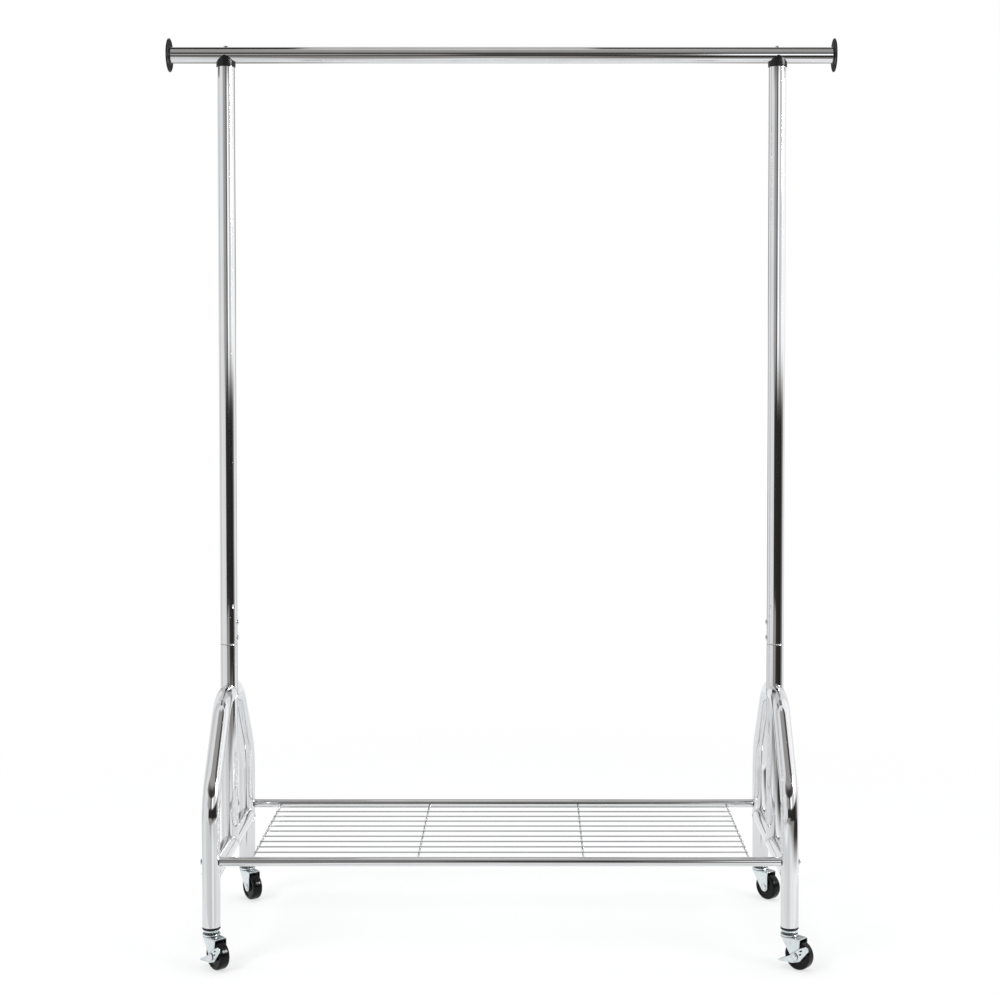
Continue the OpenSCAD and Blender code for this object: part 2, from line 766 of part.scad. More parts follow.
wheel(3);  // rear_right_wheel
brake_lever(0);  // front_left_brake_lever
brake_lever(1);  // front_right_brake_lever
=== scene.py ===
"""The rolling clothes rack's looks: computed surfaces and procedural materials over the fixed CAD frame.

The pieces' lengths are millimetres, and new_piece() turns them to metres. The stage's lengths are metres.
The axes are the frame's own: X along the hang bar, Y from front to rear, Z up from the floor.
"""
import json
import math

import bpy
import numpy as np
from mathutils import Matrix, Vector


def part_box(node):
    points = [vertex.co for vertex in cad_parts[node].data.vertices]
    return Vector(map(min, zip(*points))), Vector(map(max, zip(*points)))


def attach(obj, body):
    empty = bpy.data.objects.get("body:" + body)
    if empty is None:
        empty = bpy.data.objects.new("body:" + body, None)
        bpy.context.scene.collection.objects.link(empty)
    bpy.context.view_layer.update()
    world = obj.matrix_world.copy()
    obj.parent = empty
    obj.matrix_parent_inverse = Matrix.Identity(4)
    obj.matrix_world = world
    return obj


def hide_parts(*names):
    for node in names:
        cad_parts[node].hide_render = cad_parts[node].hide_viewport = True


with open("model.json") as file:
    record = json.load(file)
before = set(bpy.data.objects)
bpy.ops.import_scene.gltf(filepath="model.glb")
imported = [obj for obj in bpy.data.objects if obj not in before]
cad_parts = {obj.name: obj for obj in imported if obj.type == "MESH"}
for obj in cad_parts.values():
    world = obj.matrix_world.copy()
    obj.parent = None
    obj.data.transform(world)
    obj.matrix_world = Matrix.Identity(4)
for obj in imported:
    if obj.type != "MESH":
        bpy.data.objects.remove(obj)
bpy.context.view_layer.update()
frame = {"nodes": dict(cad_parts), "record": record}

bl_info = {
    "name": "Rolling clothes rack",
    "version": (1, 0, 0),
    "blender": (4, 5, 0),
    "location": "View3D > Sidebar > Rack",
    "description": "Builds the visible pieces, materials and stage of a rolling clothes rack",
    "category": "Object",
}

MM = 0.001


def middle(node):
    """Middle of a CAD node's box, in millimetres."""
    low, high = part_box(node)
    return (np.array(low) + np.array(high)) / 2 / MM


def span(node):
    """Size of a CAD node's box, in millimetres."""
    low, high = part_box(node)
    return (np.array(high) - np.array(low)) / MM


def heights(node):
    """Lowest and highest place of a CAD node's box, in millimetres."""
    low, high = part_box(node)
    return low.z / MM, high.z / MM


# Sizes of the frame, from the CAD nodes' boxes
BAR_Z = middle("hang_bar")[2]
BAR_LENGTH, _, BAR_D = span("hang_bar")
BAR_R = BAR_D / 2
POST_X = middle("right_upper_post")[0]
TUBE_R = span("right_cross_bar")[0] / 2
JOINT_Z, POST_TOP = heights("right_upper_post")
LOWER_TOP = heights("right_lower_post")[1]
CROSS_Z = middle("right_cross_bar")[2]
LEG_Y = middle("rear_rail")[1]
LEG_LOW, LEG_TOP = heights("rear_right_leg")
ARCH_Z = LEG_TOP - TUBE_R
RAIL_Z = middle("rear_rail")[2]
RAIL_R = span("rear_rail")[2] / 2
LONG_Z = middle("shelf_long_wires")[2]
CROSS_WIRE_Z = middle("shelf_cross_wires")[2]
WHEEL_R = span("rear_left_wheel")[2] / 2

# Pan heads on the hang bar, at the posts' joints and on the legs: diameter and height
BAR_HEAD, JOINT_HEAD, RAIL_HEAD = (9.0, 2.4), (9.0, 2.6), (9.6, 3.4)

# Tubes: their wall, the gap of a coped end, and how far in a turned-in lip starts
WALL = 1.2
COPE_GAP = 0.05
LIP_RUN = 0.4

# A leg's bends: the place of the shoulder's corner, both radii, and the slope between them
SHOULDER_Y, SHOULDER_R, KNEE_R = 66.6, 80.0, 113.0
SLOPE = math.radians(49)

# The shelf's wires: how many, their pitch or the span of the outermost, and their radius
LONG_N, LONG_PITCH, LONG_R = 11, 34.3, 1.5
WIRE_N, WIRE_SPAN, WIRE_R = 4, 882.0, 2.0

# Sides of X and Y: each end frame's, and each caster's
SIDES = ((-1, "left"), (1, "right"))
CORNERS = {"front_left": (-1, -1), "front_right": (1, -1), "rear_left": (-1, 1), "rear_right": (1, 1)}

# Casters: how each is turned at rest in degrees, and how far its axle trails the stem
TURNS = {"front_left": 48.0, "front_right": 43.0, "rear_left": 53.0, "rear_right": 50.0}
TRAIL = 21.0

# Faces of a caster's sheets, from the wheel's middle, and heights of its upper pieces, from the floor
FORK_IN, FORK_OUT = 11.2, 12.8
LEVER_IN, LEVER_OUT = 13.1, 14.7
ROOF_LOW, ROOF_TOP, RACE_TOP = 54.4, 56.0, 59.0
COLLAR_LOW, COLLAR_TOP = 63.0, 67.0

# Edges that turn more than this stay sharp in smooth shading
SHARP_ANGLE = math.radians(38)

# The look that a material slot gets, unless a piece names another
LOOKS = {"chrome_tube": "chrome_tube_look", "zinc_plate": "zinc_look", "plain_steel": "inner_steel_look",
         "ball_steel": "ball_look", "black_plastic": "black_plastic_look", "wheel_tread": "wheel_look"}


# ---- surfaces ----

def ring_angles(count):
    """Evenly spaced angles round a full circle, without the last."""
    return np.arange(count) * (2 * math.pi / count)


def join(x, y, z):
    """Points from three coordinates, each a number or an array."""
    return np.stack(np.broadcast_arrays(x, y, z), -1)


def ring(angle, radius, height):
    """Points at these angles round the Z axis, at a radius and a height that may differ with the angle."""
    return join(radius * np.cos(angle), radius * np.sin(angle), height)


def run_of(path):
    """Distance along a path at each of its points."""
    return np.append(0, np.cumsum(np.linalg.norm(np.diff(path, axis=0), axis=1)))


def tangents(path):
    """Unit direction of a path at each of its points."""
    way = np.gradient(path, axis=0)
    return way / np.linalg.norm(way, axis=1)[:, None]


def surface(points, wrap_rows=False, wrap_cols=True, flow=None, turn=False):
    """Quads over a grid of points (rows by columns by 3), closed round a direction where wrap says so.

    turn reverses the faces. flow is a second grid that materials read as a straightened tube's place.
    """
    points = np.asarray(points, float)
    rows, cols = points.shape[:2]
    r = np.arange(rows if wrap_rows else rows - 1)
    c = np.arange(cols if wrap_cols else cols - 1)
    r0, c0 = np.meshgrid(r, c, indexing="ij")
    r1, c1 = (r0 + 1) % rows, (c0 + 1) % cols
    quads = np.stack([r0 * cols + c0, r0 * cols + c1, r1 * cols + c1, r1 * cols + c0], -1).reshape(-1, 4)
    if turn:
        quads = quads[:, ::-1]
    flat = points.reshape(-1, 3)
    return flat, quads, flat if flow is None else np.asarray(flow, float).reshape(-1, 3)


def outward(part):
    """The same closed part with its faces turned so that its volume is positive."""
    points, quads, flow = part
    a, b, c, d = (points[quads[:, k]] for k in range(4))
    volume = np.einsum("ij,ij->i", a, np.cross(b, c)).sum() + np.einsum("ij,ij->i", a, np.cross(c, d)).sum()
    return (points, quads[:, ::-1], flow) if volume < 0 else part


def lathe(profile, count, place=None):
    """A profile of (radius, height) points turned about the Z axis, as rings; radius 0 ends close it."""
    profile = np.asarray(profile, float)
    grid = ring(ring_angles(count), profile[:, :1], profile[:, 1:])
    closed = profile[0, 0] > 1e-6 or profile[-1, 0] > 1e-6
    part = outward(surface(grid, wrap_rows=closed))
    return moved(part, place) if place is not None else part


def moved(part, place):
    """A part after a 4 by 4 placing; its flow stays that of the unplaced part."""
    points, quads, flow = part
    return points @ place[:3, :3].T + place[:3, 3], quads, flow


def placing(origin=(0, 0, 0), z_axis=(0, 0, 1), x_axis=None):
    """A 4 by 4 placing that puts the local Z axis along z_axis and the local X axis near x_axis."""
    z = np.asarray(z_axis, float) / np.linalg.norm(z_axis)
    x = np.asarray(x_axis if x_axis is not None else ((1, 0, 0) if abs(z[0]) < 0.9 else (0, 1, 0)), float)
    x = x - z * (x @ z)
    x /= np.linalg.norm(x)
    out = np.eye(4)
    out[:3, 0], out[:3, 1], out[:3, 2], out[:3, 3] = x, np.cross(z, x), z, origin
    return out


def arc(centre, radius, start, end, count):
    """Points on a circular arc in a plane, angles in degrees."""
    a = np.radians(np.linspace(start, end, count))
    return np.stack([centre[0] + radius * np.cos(a), centre[1] + radius * np.sin(a)], -1)


def rounding(radius, count):
    """Steps of a rounded edge, from the face to the end: how far in each lies, and how far from the end."""
    return [(radius * (1 - math.cos(a)), radius * (1 - math.sin(a)))
            for a in np.radians(np.linspace(0, 90, count))]


def smooth(x, low, high):
    """Smoothstep: 0 below low, 1 above high, with a soft ramp between."""
    t = np.clip((np.asarray(x, float) - low) / (high - low), 0, 1)
    return t * t * (3 - 2 * t)


def cope(across):
    """How far the surface of a 32 mm tube stands from its middle plane, at a distance across its axis."""
    return np.sqrt(np.maximum((TUBE_R + COPE_GAP) ** 2 - across ** 2, 0))


def straight_tube(axis, origin, start, end, radius, rows, count, lips=(0, 0), bump=None):
    """A tube along one axis. start and end may give the cut's place for each angle, so an end can be coped.

    lips rounds the outer edge of an end by that much and turns it in to the bore. bump adds to the radius
    for each angle and place. An inner skin, one wall further in, closes the tube.
    """
    turn = placing(z_axis=axis)[:3, :3].T
    angle = ring_angles(count)
    start, end = (np.broadcast_to(np.asarray(cut, float), (count,)) for cut in (start, end))
    rings = [(start + (end - start) * t, radius) for t in np.linspace(0, 1, rows)]
    for base, sign, lip in ((start, 1, lips[0]), (end, -1, lips[1])):
        if lip:
            edge = [(base + sign * (lip + LIP_RUN), radius)]
            edge += [(base + sign * along, radius - inset) for inset, along in rounding(lip, 7)]
            rings = edge[::-1] + rings[1:] if sign > 0 else rings[:-1] + edge
    flow = [ring(angle, r + bump(angle, at) if bump else r, at) for at, r in rings]
    flow += [ring(angle, radius - WALL, rings[k][0]) for k in (-1, 0)]
    grid = [points @ turn + origin for points in flow]
    return outward(surface(grid, wrap_rows=True, flow=flow))


def swept(path, radius, count):
    """A round rod of a radius for each point along a path, closed by its end rings' middles."""
    tangent = tangents(path)
    side = np.cross(tangent[0], (0.3, 0.5, 0.81))
    sides = []
    for t in tangent:
        side = side - t * (side @ t)
        side /= np.linalg.norm(side)
        sides.append(side)
    sides = np.array(sides)
    ups = np.cross(tangent, sides)
    path, sides, ups, run = (np.concatenate([v[:1], v, v[-1:]]) for v in (path, sides, ups, run_of(path)))
    radius = np.concatenate([[0], np.broadcast_to(radius, (len(path) - 2,)), [0]])
    angle = ring_angles(count)
    cos, sin = np.cos(angle)[None, :, None], np.sin(angle)[None, :, None]
    grid = path[:, None, :] + radius[:, None, None] * (cos * sides[:, None, :] + sin * ups[:, None, :])
    return outward(surface(grid, flow=ring(angle, radius[:, None], run[:, None])))


def ellipsoid(centre, axes):
    """A closed ellipsoid with its half axes along X, Y and Z."""
    count = 16
    a = np.linspace(-math.pi / 2, math.pi / 2, count // 2 + 1)
    part = lathe(np.stack([np.cos(a) * (np.abs(np.cos(a)) > 1e-9), np.sin(a)], -1), count)
    return part[0] * np.asarray(axes) + np.asarray(centre), part[1], part[0]


def soft_slab(size, radius):
    """A slab with rounded edges: a divided box's points are drawn to a smaller box and set radius off it."""
    size = np.asarray(size, float)
    core = size / 2 - radius
    edge_points, core_points = 5, 33
    parts = []
    for axis in range(3):
        others = ((axis + 1) % 3, (axis + 2) % 3)
        lines = []
        for k in others:
            edge = core[k] + radius * np.linspace(0, 1, edge_points)
            flat = np.linspace(-core[k], core[k], core_points)[1:-1]
            lines.append(np.concatenate([-edge[::-1], flat, edge]))
        u, v = np.meshgrid(*lines, indexing="ij")
        for sign in (-1, 1):
            cube = np.empty(u.shape + (3,))
            cube[..., axis], cube[..., others[0]], cube[..., others[1]] = sign * size[axis] / 2, u, v
            inner = np.clip(cube, -core, core)
            off = cube - inner
            points = inner + radius * off / np.maximum(np.linalg.norm(off, axis=-1, keepdims=True), 1e-9)
            parts.append(surface(points, wrap_cols=False, turn=sign < 0))
    return parts


def pan_head(centre, axis, diameter, height):
    """A screw's pan head: a domed top with a cross recess, its depth fading at the recess's edges."""
    r0, under = diameter / 2, -2.5
    radii = r0 * np.array([*np.linspace(0, 0.62, 15), 0.75, 0.88, 0.95, 0.985, 1])
    angle = ring_angles(64)
    rr, aa = np.meshgrid(radii, angle, indexing="ij")
    top = height * (1 - 0.30 * (rr / r0) ** 2 - 0.45 * (rr / r0) ** 14)
    x, y = np.abs(rr * np.cos(aa)), np.abs(rr * np.sin(aa))
    slot = np.maximum(1 - smooth(x, r0 * 0.10, r0 * 0.20), 1 - smooth(y, r0 * 0.10, r0 * 0.20))
    top -= 0.45 * height * slot * (1 - smooth(rr, r0 * 0.42, r0 * 0.58))
    rows = [*ring(aa, rr, top), ring(angle, r0, under), ring(angle, 0, under)]
    return moved(outward(surface(rows)), placing(centre, axis))


# ---- objects ----

def new_piece(name, parts, slot, nodes=(), body="rack", look=None):
    """One smooth mesh object from parts, in metres at the origin. It rides on body and replaces nodes."""
    points = np.concatenate([p[0] for p in parts]) * MM
    flow = np.concatenate([p[2] for p in parts]) * MM
    shift = np.cumsum([0] + [len(p[0]) for p in parts[:-1]])
    quads = np.concatenate([p[1] + k for p, k in zip(parts, shift)])
    # a quad whose points meet at a pole becomes a triangle
    same = np.linalg.norm(points[quads] - points[np.roll(quads, -1, 1)], axis=-1) < 1e-9
    poles = same.any(1)
    triangles = [q[~drop].tolist() for q, drop in zip(quads[poles], same[poles]) if (~drop).sum() >= 3]
    mesh = bpy.data.meshes.new(name)
    mesh.from_pydata(points.tolist(), [], quads[~poles].tolist() + triangles)
    attribute = mesh.attributes.new("flow", "FLOAT_VECTOR", "POINT")
    attribute.data.foreach_set("vector", flow.astype(np.float32).ravel())
    mesh.validate()
    mesh.shade_smooth()
    mesh.set_sharp_from_angle(angle=SHARP_ANGLE)
    obj = bpy.data.objects.new(name, mesh)
    bpy.context.scene.collection.objects.link(obj)
    mesh.materials.append(bpy.data.materials[look or LOOKS[slot]])
    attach(obj, body)
    if nodes:
        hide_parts(*nodes)


def at_corner(parts, corner):
    """Parts in a caster's own axes, placed at a corner: swivel axis under the leg, local X to the axle."""
    sx, sy = CORNERS[corner]
    a = math.radians(TURNS[corner])
    place = placing((sx * POST_X, sy * LEG_Y, 0), (0, 0, 1), (math.cos(a), -math.sin(a), 0))
    return [moved(p, place) for p in parts]


def caster_pieces(piece, parts, slot, node, body, corners=CORNERS):
    """The same parts at these corners, as a piece for each caster's node on that caster's body."""
    for corner in corners:
        new_piece(f"{corner}_{piece}", at_corner(parts, corner), slot,
                  [f"{corner}_{node}"], f"{corner}_{body}")


# ---- materials ----

def feed(tree, socket, value):
    """Sets a socket to a value, or links a node's output to it. None leaves it alone."""
    if isinstance(value, bpy.types.NodeSocket):
        tree.links.new(value, socket)
    elif value is not None:
        socket.default_value = value


def add(tree, kind, inputs=(), **values):
    """A node with its properties set, and its inputs fed by name or in their order."""
    node = tree.nodes.new(kind)
    for key, value in values.items():
        if hasattr(node, key):
            setattr(node, key, value)
        else:
            feed(tree, node.inputs[key], value)
    for socket, value in zip(node.inputs, inputs):
        feed(tree, socket, value)
    return node


def math_node(tree, operation, *values):
    """A maths node's output."""
    return add(tree, "ShaderNodeMath", values, operation=operation).outputs[0]


def mix_colour(tree, blend_type, share, first, second):
    """A colour mix's output. The colours are the node's seventh and eighth inputs."""
    inputs = (share, *[None] * 5, first, second)
    return add(tree, "ShaderNodeMix", inputs, data_type="RGBA", blend_type=blend_type).outputs[2]


def remap(tree, source, low, high, start=0.3, end=0.7):
    """A value drawn from start..end to low..high."""
    return add(tree, "ShaderNodeMapRange", (source, start, end, low, high)).outputs["Result"]


def wear_group():
    """Slow mottling and fine drawn lines, as two masks and a height, from a place vector."""
    if "surface_wear" in bpy.data.node_groups:
        return bpy.data.node_groups["surface_wear"]
    group = bpy.data.node_groups.new("surface_wear", "ShaderNodeTree")
    for label, kind in (("Place", "Vector"), ("Stretch", "Vector"), ("Fineness", "Float")):
        group.interface.new_socket(label, in_out="INPUT", socket_type=f"NodeSocket{kind}")
    for label in ("Mottle", "Lines", "Height"):
        group.interface.new_socket(label, in_out="OUTPUT", socket_type="NodeSocketFloat")
    place, stretch, fineness, _ = add(group, "NodeGroupInput").outputs
    drawn = add(group, "ShaderNodeVectorMath", (place, stretch), operation="MULTIPLY").outputs[0]
    slow = add(group, "ShaderNodeTexNoise", Vector=place, Scale=14.0, Detail=3.0, Roughness=0.5)
    fine = add(group, "ShaderNodeTexNoise", Vector=drawn, Scale=fineness, Detail=4.0, Roughness=0.6)
    mottle, lines = slow.outputs["Fac"], fine.outputs["Fac"]
    add(group, "NodeGroupOutput", (mottle, lines, math_node(group, "MULTIPLY_ADD", lines, 0.35, mottle)))
    return group


def make_material(name, dark, light, rough, metallic, bump, place="Object", stretch=(1, 1, 1), fineness=900.0,
                  spangle=0.0, specular=0.5, crease_shade=0.0):
    """A Principled material: mottled colour, uneven roughness, fine bump, optional spangles, and optional
    painted shade that darkens the colour in creases by ambient occlusion.
    """
    material = bpy.data.materials.new(name)
    material.use_nodes = True
    tree = material.node_tree
    if place == "flow":
        where = add(tree, "ShaderNodeAttribute", attribute_name="flow").outputs["Vector"]
    else:
        where = add(tree, "ShaderNodeTexCoord").outputs["Object"]
    wear = add(tree, "ShaderNodeGroup", node_tree=wear_group())
    mottle, lines, height = wear.outputs
    for label, value in (("Place", where), ("Stretch", stretch), ("Fineness", fineness)):
        feed(tree, wear.inputs[label], value)
    share = remap(tree, mottle, 0, 1)
    if spangle:
        cells = add(tree, "ShaderNodeTexVoronoi", Vector=where, Scale=spangle)
        mottled = math_node(tree, "MULTIPLY_ADD", cells.outputs["Color"], 0.22, mottle)
        share = remap(tree, mottled, 0, 1, 0.4, 0.85)
    colour = mix_colour(tree, "MIX", share, (*dark, 1), (*light, 1))
    if crease_shade:
        # painted shade: ambient occlusion darkens the base colour in creases, recesses and where parts meet
        crease = add(tree, "ShaderNodeAmbientOcclusion", samples=6, Distance=0.004)
        shade = math_node(tree, "POWER", crease.outputs["AO"], 1.8)
        colour = mix_colour(tree, "MULTIPLY", crease_shade, colour, shade)
    relief = add(tree, "ShaderNodeBump", Strength=bump, Distance=0.0005, Height=height)
    shader = tree.nodes["Principled BSDF"]
    for label, value in (("Base Color", colour), ("Metallic", metallic), ("Specular IOR Level", specular),
                         ("Roughness", remap(tree, lines, *rough)), ("Normal", relief.outputs["Normal"])):
        feed(tree, shader.inputs[label], value)


def make_materials(look):
    """All of the rack's materials: name, dark and light colour, roughness from and to, metal, bump."""
    rough = look.chrome_roughness
    make_material("chrome_tube_look", (0.685, 0.69, 0.70), (0.725, 0.73, 0.74), (rough, rough + 0.05), 1.0,
                  0.05, "flow", (1, 1, 0.03), 420.0)
    make_material("chrome_wire_look", (0.66, 0.665, 0.675), (0.72, 0.725, 0.735), (0.03, 0.07), 1.0, 0.03,
                  "flow", (1, 1, 0.05), 500.0)
    # zinc, bolts and balls get painted shade in their creases from ambient occlusion, set by the last
    # argument
    make_material("zinc_look", tuple(look.zinc_dark), tuple(look.zinc_light), (0.16, 0.30), 0.95, 0.12,
                  spangle=420.0, crease_shade=0.7)
    make_material("bolt_look", (0.62, 0.64, 0.66), (0.80, 0.82, 0.83), (0.15, 0.3), 1.0, 0.08, crease_shade=0.8)
    make_material("ball_look", (0.30, 0.36, 0.36), (0.55, 0.60, 0.60), (0.1, 0.25), 1.0, 0.05, crease_shade=1.0)
    make_material("inner_steel_look", (0.34, 0.35, 0.36), (0.5, 0.5, 0.52), (0.3, 0.5), 1.0, 0.1,
                  fineness=700.0)
    make_material("black_plastic_look", (0.006, 0.006, 0.007), (0.014, 0.014, 0.015), (0.24, 0.38), 0.0, 0.15,
                  fineness=1500.0, specular=0.22)
    make_material("wheel_look", (0.002, 0.002, 0.0025), (0.006, 0.0058, 0.006), (0.08, 0.16), 0.0, 0.10,
                  fineness=1100.0, specular=0.17)


def blank_material(name):
    """A material without a shader, its node tree and its output node."""
    material = bpy.data.materials.new(name)
    material.use_nodes = True
    material.node_tree.nodes.clear()
    return material, material.node_tree, add(material.node_tree, "ShaderNodeOutputMaterial")


def glow_look(name):
    """A stage card's material: the mesh's own glow attribute as emission, which lights nothing by itself."""
    material, tree, out = blank_material(name)
    glow = add(tree, "ShaderNodeAttribute", attribute_name="glow").outputs["Color"]
    shine = add(tree, "ShaderNodeEmission", Color=glow, Strength=1.0)
    tree.links.new(shine.outputs[0], out.inputs["Surface"])
    material.cycles.emission_sampling = "NONE"
    return material


# ---- settings ----

class RackLook(bpy.types.PropertyGroup):
    """Settings of the rack's looks."""
    chrome_roughness: bpy.props.FloatProperty(
        name="Chrome roughness", description="Roughness of the chrome tubes at their smoothest",
        default=0.035, min=0.0, max=0.4, subtype="FACTOR")
    zinc_dark: bpy.props.FloatVectorProperty(
        name="Zinc, dark", description="Darker colour of the zinc plating on forks and levers",
        default=(0.60, 0.66, 0.67), subtype="COLOR")
    zinc_light: bpy.props.FloatVectorProperty(
        name="Zinc, light", description="Lighter colour of the zinc plating on forks and levers",
        default=(0.78, 0.84, 0.85), subtype="COLOR")
    sides: bpy.props.IntProperty(
        name="Tube sides", description="Number of sides round the hang bar and the legs",
        default=96, min=24, max=256, subtype="UNSIGNED")


# ---- pieces ----

class RACK_OT_materials(bpy.types.Operator):
    """Makes the materials and gives one to every CAD node"""
    bl_idname = "rack.materials"
    bl_label = "Materials"

    def execute(self, context):
        make_materials(context.scene.rack_look)
        slots = {s["node"]: s["material_slot"] for s in frame["record"]["subparts"]}
        for name, obj in frame["nodes"].items():
            obj.data.materials.clear()
            obj.data.materials.append(bpy.data.materials[LOOKS[slots[name]]])
        return {"FINISHED"}


class RACK_OT_hang_bar(bpy.types.Operator):
    """The hang bar: a drawn tube along X"""
    bl_idname = "rack.hang_bar"
    bl_label = "Hang bar"

    def execute(self, context):
        half = BAR_LENGTH / 2
        tube = straight_tube((1, 0, 0), (0, 0, BAR_Z), -half, half, BAR_R, 3, context.scene.rack_look.sides)
        new_piece("hang_bar_tube", [tube], "chrome_tube", ["hang_bar"])
        return {"FINISHED"}


class RACK_OT_end_flanges(bpy.types.Operator):
    """The black end flanges: a boss with a fillet, and a disc with a rolled rim and a shallow dished face"""
    bl_idname = "rack.end_flanges"
    bl_label = "End flanges"

    def execute(self, context):
        profile = np.concatenate([
            [(0, -3), (13.4, -3), (13.4, 0), (16.0, 0)], arc((16.0, 0.5), 0.5, -90, 0, 4),
            arc((17.5, 1.0), 1.0, 180, 90, 5), arc((29.4, 3.5), 1.5, -90, 88, 12),
            arc((27.5, 4.6), 0.4, 90, 150, 3),
            [(26.6, 4.6), (20, 4.75), (10, 4.85), (2.4, 4.9), (2.0, 4.75), (1.2, 4.7), (0, 4.7)]])
        for side, name in SIDES:
            cap = lathe(profile, 128, placing((side * BAR_LENGTH / 2, 0, BAR_Z), (side, 0, 0)))
            new_piece(f"{name}_flange_cap", [cap], "black_plastic", [f"{name}_end_flange"])
        return {"FINISHED"}


class RACK_OT_saddles(bpy.types.Operator):
    """The saddles: a collar whose top is the lower of a roof, falling both ways, and the bar's underside"""
    bl_idname = "rack.saddles"
    bl_label = "Saddles"

    def execute(self, context):
        outer, base, count = 17.6, POST_TOP - BAR_Z, 128
        ridge_z, fall, ridge_round, valley = -1.3, 0.829, 6.0, 0.35
        base_round, rim_round = 0.6, 0.5
        angle = ring_angles(count)

        def top(r):
            """Height of the top at a radius: the lower of roof and bar, with a soft valley between them."""
            x, y = r * np.cos(angle), r * np.sin(angle)
            roof = ridge_z - fall * (np.sqrt(x * x + ridge_round) - math.sqrt(ridge_round))
            under = -np.sqrt(np.maximum((BAR_R + COPE_GAP) ** 2 - y * y, 0))
            under = np.where(np.abs(y) < BAR_R, under, 5.0)
            h = np.clip(0.5 + 0.5 * (under - roof) / valley, 0, 1)
            return np.minimum(under * (1 - h) + roof * h - valley * h * (1 - h), 0)

        rim = top(outer - rim_round)
        rows = [(0, base), (outer - base_round, base)]
        rows += [(outer - inset, base + along) for inset, along in rounding(base_round, 4)[2::-1]]
        rows += [(outer - inset, rim - along) for inset, along in rounding(rim_round, 4)]
        rows += [(r, top(r)) for r in np.append(np.linspace(outer - 0.7, 2, 46), 0.0)]
        part = outward(surface([ring(angle, r, z) for r, z in rows]))
        for side, name in SIDES:
            cap = moved(part, placing((side * POST_X, 0, BAR_Z)))
            new_piece(f"{name}_saddle_cap", [cap], "black_plastic", [f"{name}_saddle"])
        return {"FINISHED"}


class RACK_OT_posts(bpy.types.Operator):
    """The posts: tubes with turned-in lips at the joint, a locating dimple, and a cope on the cross bar"""
    bl_idname = "rack.posts"
    bl_label = "Posts"

    def execute(self, context):
        sides = context.scene.rack_look.sides * 2
        lip = 1.1
        dent_low, dent_z, dent_high = JOINT_Z + 60, JOINT_Z + 71.1, JOINT_Z + 84
        dent_wide, dent_tall, dent_deep, dent_turn = 2.6, 3.6, 0.9, 40
        cut = CROSS_Z + cope(TUBE_R * np.cos(ring_angles(sides)))
        for side, name in SIDES:
            axis = (0, 0, 1), (side * POST_X, 0, 0)

            def dimple(angle, z, facing=math.radians(-90 - side * dent_turn)):
                """A dent whose depth falls smoothly with distance from its middle."""
                turn = (angle - facing + math.pi) % (2 * math.pi) - math.pi
                away = np.sqrt((turn * TUBE_R / dent_wide) ** 2 + ((z - dent_z) / dent_tall) ** 2)
                return -dent_deep * (1 - smooth(away, 0.2, 1.0))

            upper = [straight_tube(*axis, JOINT_Z, dent_low, TUBE_R, 3, sides, (lip, 0)),
                     straight_tube(*axis, dent_low, dent_high, TUBE_R, 33, sides, bump=dimple),
                     straight_tube(*axis, dent_high, POST_TOP, TUBE_R, 3, sides)]
            new_piece(f"{name}_upper_tube", upper, "chrome_tube", [f"{name}_upper_post"])
            lower = straight_tube(*axis, cut, LOWER_TOP, TUBE_R, 3, sides, (0, lip))
            new_piece(f"{name}_lower_tube", [lower], "chrome_tube", [f"{name}_lower_post"])
        return {"FINISHED"}


def leg_path():
    """A leg's centre line from the post outwards and down: level, the shoulder, a slope, the knee, a drop."""
    turned = 90 - math.degrees(SLOPE)
    start = SHOULDER_Y - SHOULDER_R * math.tan(SLOPE / 2)
    corner_z = ARCH_Z - (LEG_Y - SHOULDER_Y) * math.tan(SLOPE)
    knee_z = corner_z - KNEE_R * math.tan(math.radians(turned) / 2)
    shoulder = arc((start, ARCH_Z - SHOULDER_R), SHOULDER_R, 90, turned, 25)
    knee = arc((LEG_Y - KNEE_R, knee_z), KNEE_R, turned, 0, 25)
    level = np.stack([np.linspace(0, start, 4)[:-1], np.full(3, ARCH_Z)], -1)
    slope = np.linspace(shoulder[-1], knee[0], 5)[1:-1]
    drop = np.stack([np.full(6, LEG_Y), np.linspace(knee[-1, 1], LEG_LOW, 7)[1:]], -1)
    return np.concatenate([level, shoulder, slope, knee, drop])


class RACK_OT_legs(bpy.types.Operator):
    """The legs: a round tube swept along a path of straight runs and arcs, coped to the post at its top"""
    bl_idname = "rack.legs"
    bl_label = "Legs"

    def execute(self, context):
        angle = ring_angles(context.scene.rack_look.sides)
        lip = 0.6
        path = leg_path()
        tangent = tangents(path)
        tangent[0], tangent[-1] = (1, 0), (0, -1)
        normal = np.stack([-tangent[:, 1], tangent[:, 0]], -1)
        run = run_of(path)
        rings = list(zip(path[:-1], normal[:-1], np.full(len(path) - 1, TUBE_R), run[:-1]))
        rings += [(path[-1] + (0, along), normal[-1], TUBE_R - inset, run[-1])
                  for inset, along in rounding(lip, 4)]
        rings += zip(path[::-1], normal[::-1], np.full(len(path), TUBE_R - WALL), run[::-1])
        grid, flow = [], []
        for p, n, r, at in rings:
            x, u = r * np.cos(angle), r * np.sin(angle)
            grid.append(join(x, p[0] + u * n[0], p[1] + u * n[1]))
            flow.append(join(x, u, at))
        for cut in (grid[0], grid[-1]):
            cut[:, 1] = cope(cut[:, 0])
        part = outward(surface(grid, wrap_rows=True, flow=flow))
        for corner, (sx, sy) in CORNERS.items():
            place = np.diag([1.0, sy, 1.0, 1.0])
            place[0, 3] = sx * POST_X
            new_piece(f"{corner}_leg_tube", [outward(moved(part, place))], "chrome_tube", [f"{corner}_leg"])
        return {"FINISHED"}


